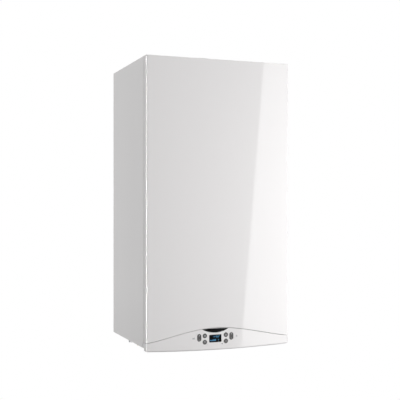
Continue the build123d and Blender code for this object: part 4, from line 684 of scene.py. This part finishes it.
segment_places = {"a": (0, digit_half, 0), "b": (digit_reach, digit_half / 2, 90),
                  "c": (digit_reach, -digit_half / 2, 90), "d": (0, -digit_half, 0),
                  "e": (-digit_reach, -digit_half / 2, 90), "f": (-digit_reach, digit_half / 2, 90),
                  "g": (0, 0, 0)}
x, z = spot_of("display_lens")
picture = bmesh.new()
for across, lit_segments in ((5.4, "acdefg"), (9.6, "abcdef")):
    for name in lit_segments:
        aside, up, turn = segment_places[name]
        bar(picture, x + across + aside, z + upper_line + up, segment_length, segment_width,
            picture_front, picture_depth, turn)
arc(picture, x + 12.9, z + 6.6, 0.7, 0.4, picture_front, picture_depth)
for i in range(4):
    bar(picture, x - 3.6 + 1.5 * i, z + upper_line, segment_width, 3.6, picture_front, picture_depth)
for i in range(8):
    tall = 2.2 + 0.3 * i
    bar(picture, x - 13.4 + 2.2 * i, z - 6.7 + tall / 2, 1.3, tall, picture_front, picture_depth)
arc(picture, x + 10.4, z - 4.4, 1.1, 0.6, picture_front, picture_depth)
bmesh.ops.recalc_face_normals(picture, faces=picture.faces)

glow, tree = new_material("lit_liquid_crystal")
where = add_node(tree, "TexCoord")
spread = add_node(tree, "TexNoise", {"Scale": 1 / spread_width, "Detail": 1},
                  {"Vector": where.outputs["Object"]})
shade = add_node(tree, "Mix", {6: linear("1560A8"), 7: linear("7AD8FF")}, {0: spread.outputs["Fac"]},
                 data_type="RGBA")
surface = add_node(tree, "BsdfPrincipled", {"Base Color": linear("08121A"), "Roughness": 0.3,
                                            "Emission Strength": 1.2}, {"Emission Color": shade.outputs[2]})
add_node(tree, "OutputMaterial", links={"Surface": surface.outputs[0]})
new_piece("display_picture", picture, glow, "control_panel")

# Display lens: clear smoked acrylic over the black display, hazed like the badge and coated against
# glare, so it mirrors the room less than plain acrylic, whose index is 1.49.
smoke, tree = new_material("smoked_acrylic")
where = add_node(tree, "TexCoord")
haze = add_node(tree, "TexNoise", {"Scale": 1 / haze_width, "Detail": 3},
                {"Vector": where.outputs["Object"]})
dull = add_node(tree, "MapRange", {"To Min": 0.02, "To Max": 0.06}, {"Value": haze.outputs["Fac"]})
surface = add_node(tree, "BsdfPrincipled", {"Base Color": linear("A6A8AC"), "Transmission Weight": 1.0,
                                            "IOR": 1.22, "Specular IOR Level": 0.1},
                   {"Roughness": dull.outputs[0]})
add_node(tree, "OutputMaterial", links={"Surface": surface.outputs[0]})
finish_nodes(smoke, "display_lens")

# Keys and knob: grey ABS, injection moulded with a satin texture and rounded rims, which catch a
# thin line of light. The texture is drawn coarser than the real one, to show.
satin_texture = 0.667 * mm
key_edge = 0.4 * mm

key_grey, tree = new_material("satin_grey_abs")
where = add_node(tree, "TexCoord")
texture = add_node(tree, "TexNoise", {"Scale": 1 / satin_texture, "Detail": 2},
                   {"Vector": where.outputs["Object"]})
relief = add_node(tree, "Bump", {"Strength": 0.15, "Distance": 0.1 * mm}, {"Height": texture.outputs["Fac"]})
shade = add_node(tree, "Mix", {6: linear("383736"), 7: linear("413F3E")}, {0: texture.outputs["Fac"]},
                 data_type="RGBA")
surface = add_node(tree, "BsdfPrincipled", {"Roughness": 0.35},
                   {"Base Color": shade.outputs[2], "Normal": relief.outputs[0]})
add_node(tree, "OutputMaterial", links={"Surface": surface.outputs[0]})
for key in ("button_upper_left", "button_upper_right", "button_lower_left", "button_lower_right",
            "rocker_left", "rocker_right"):
    rounded_skin(key, key_grey, bevel=key_edge)
rounded_skin("filling_knob", key_grey)

# Key marks: light signs printed on the caps, each moving with its key: on and off, reset, a list and a
# play arrow on the round keys, a plus and a minus on the rockers. The pale ink is thin and matt.
key_front = front_of("rocker_left")
stroke = 0.7

white_ink, tree = new_material("pale_printing_ink")
where = add_node(tree, "TexCoord")
cover = add_node(tree, "TexNoise", {"Scale": 1 / ink_grain, "Detail": 2},
                 {"Vector": where.outputs["Object"]})
shade = add_node(tree, "Mix", {6: linear("B4B6B8"), 7: linear("C4C6C8")}, {0: cover.outputs["Fac"]},
                 data_type="RGBA")
surface = add_node(tree, "BsdfPrincipled", {"Roughness": 0.45}, {"Base Color": shade.outputs[2]})
add_node(tree, "OutputMaterial", links={"Surface": surface.outputs[0]})

x, z = spot_of("button_upper_left")
sign = bmesh.new()
arc(sign, x, z, 2.4, stroke, key_front, ink_depth, 35, 290)
bar(sign, x, z + 2, stroke, 2.8, key_front, under_depth)
bmesh.ops.recalc_face_normals(sign, faces=sign.faces)
new_piece("on_off_mark", sign, white_ink, "button_upper_left")

x, z = spot_of("button_lower_left")
sign = bmesh.new()
arc(sign, x, z, 2.2, stroke, key_front, ink_depth, 70, 290)
bar(sign, x + 0.5, z + 2.7, 0.6, 1.8, key_front, ink_depth, -45)
bar(sign, x + 0.5, z + 1.7, 0.6, 1.8, key_front, under_depth, 45)
bmesh.ops.recalc_face_normals(sign, faces=sign.faces)
new_piece("reset_mark", sign, white_ink, "button_lower_left")

x, z = spot_of("button_upper_right")
sign = bmesh.new()
for rise in (1.8, 0, -1.8):
    bar(sign, x, z + rise, 4.4, stroke, key_front, ink_depth)
new_piece("list_mark", sign, white_ink, "button_upper_right")

x, z = spot_of("button_lower_right")
sign = bmesh.new()
bar(sign, x + 0.2, z + 1.1, stroke, 3.6, key_front, ink_depth, -50)
bar(sign, x + 0.2, z - 1.1, stroke, 3.6, key_front, under_depth, 50)
new_piece("next_mark", sign, white_ink, "button_lower_right")

sign_rise, sign_width, upright = 5.6, 3.6, 1.4
for side in ("left", "right"):
    x, z = spot_of(f"rocker_{side}")
    sign = bmesh.new()
    bar(sign, x, z + sign_rise, sign_width, stroke, key_front, ink_depth)
    for end in (1, -1):
        bar(sign, x, z + sign_rise + end * (stroke + upright) / 2, stroke, upright, key_front, ink_depth)
    bar(sign, x, z - sign_rise, sign_width, stroke, key_front, ink_depth)
    new_piece(f"plus_minus_{side}", sign, white_ink, f"rocker_{side}")
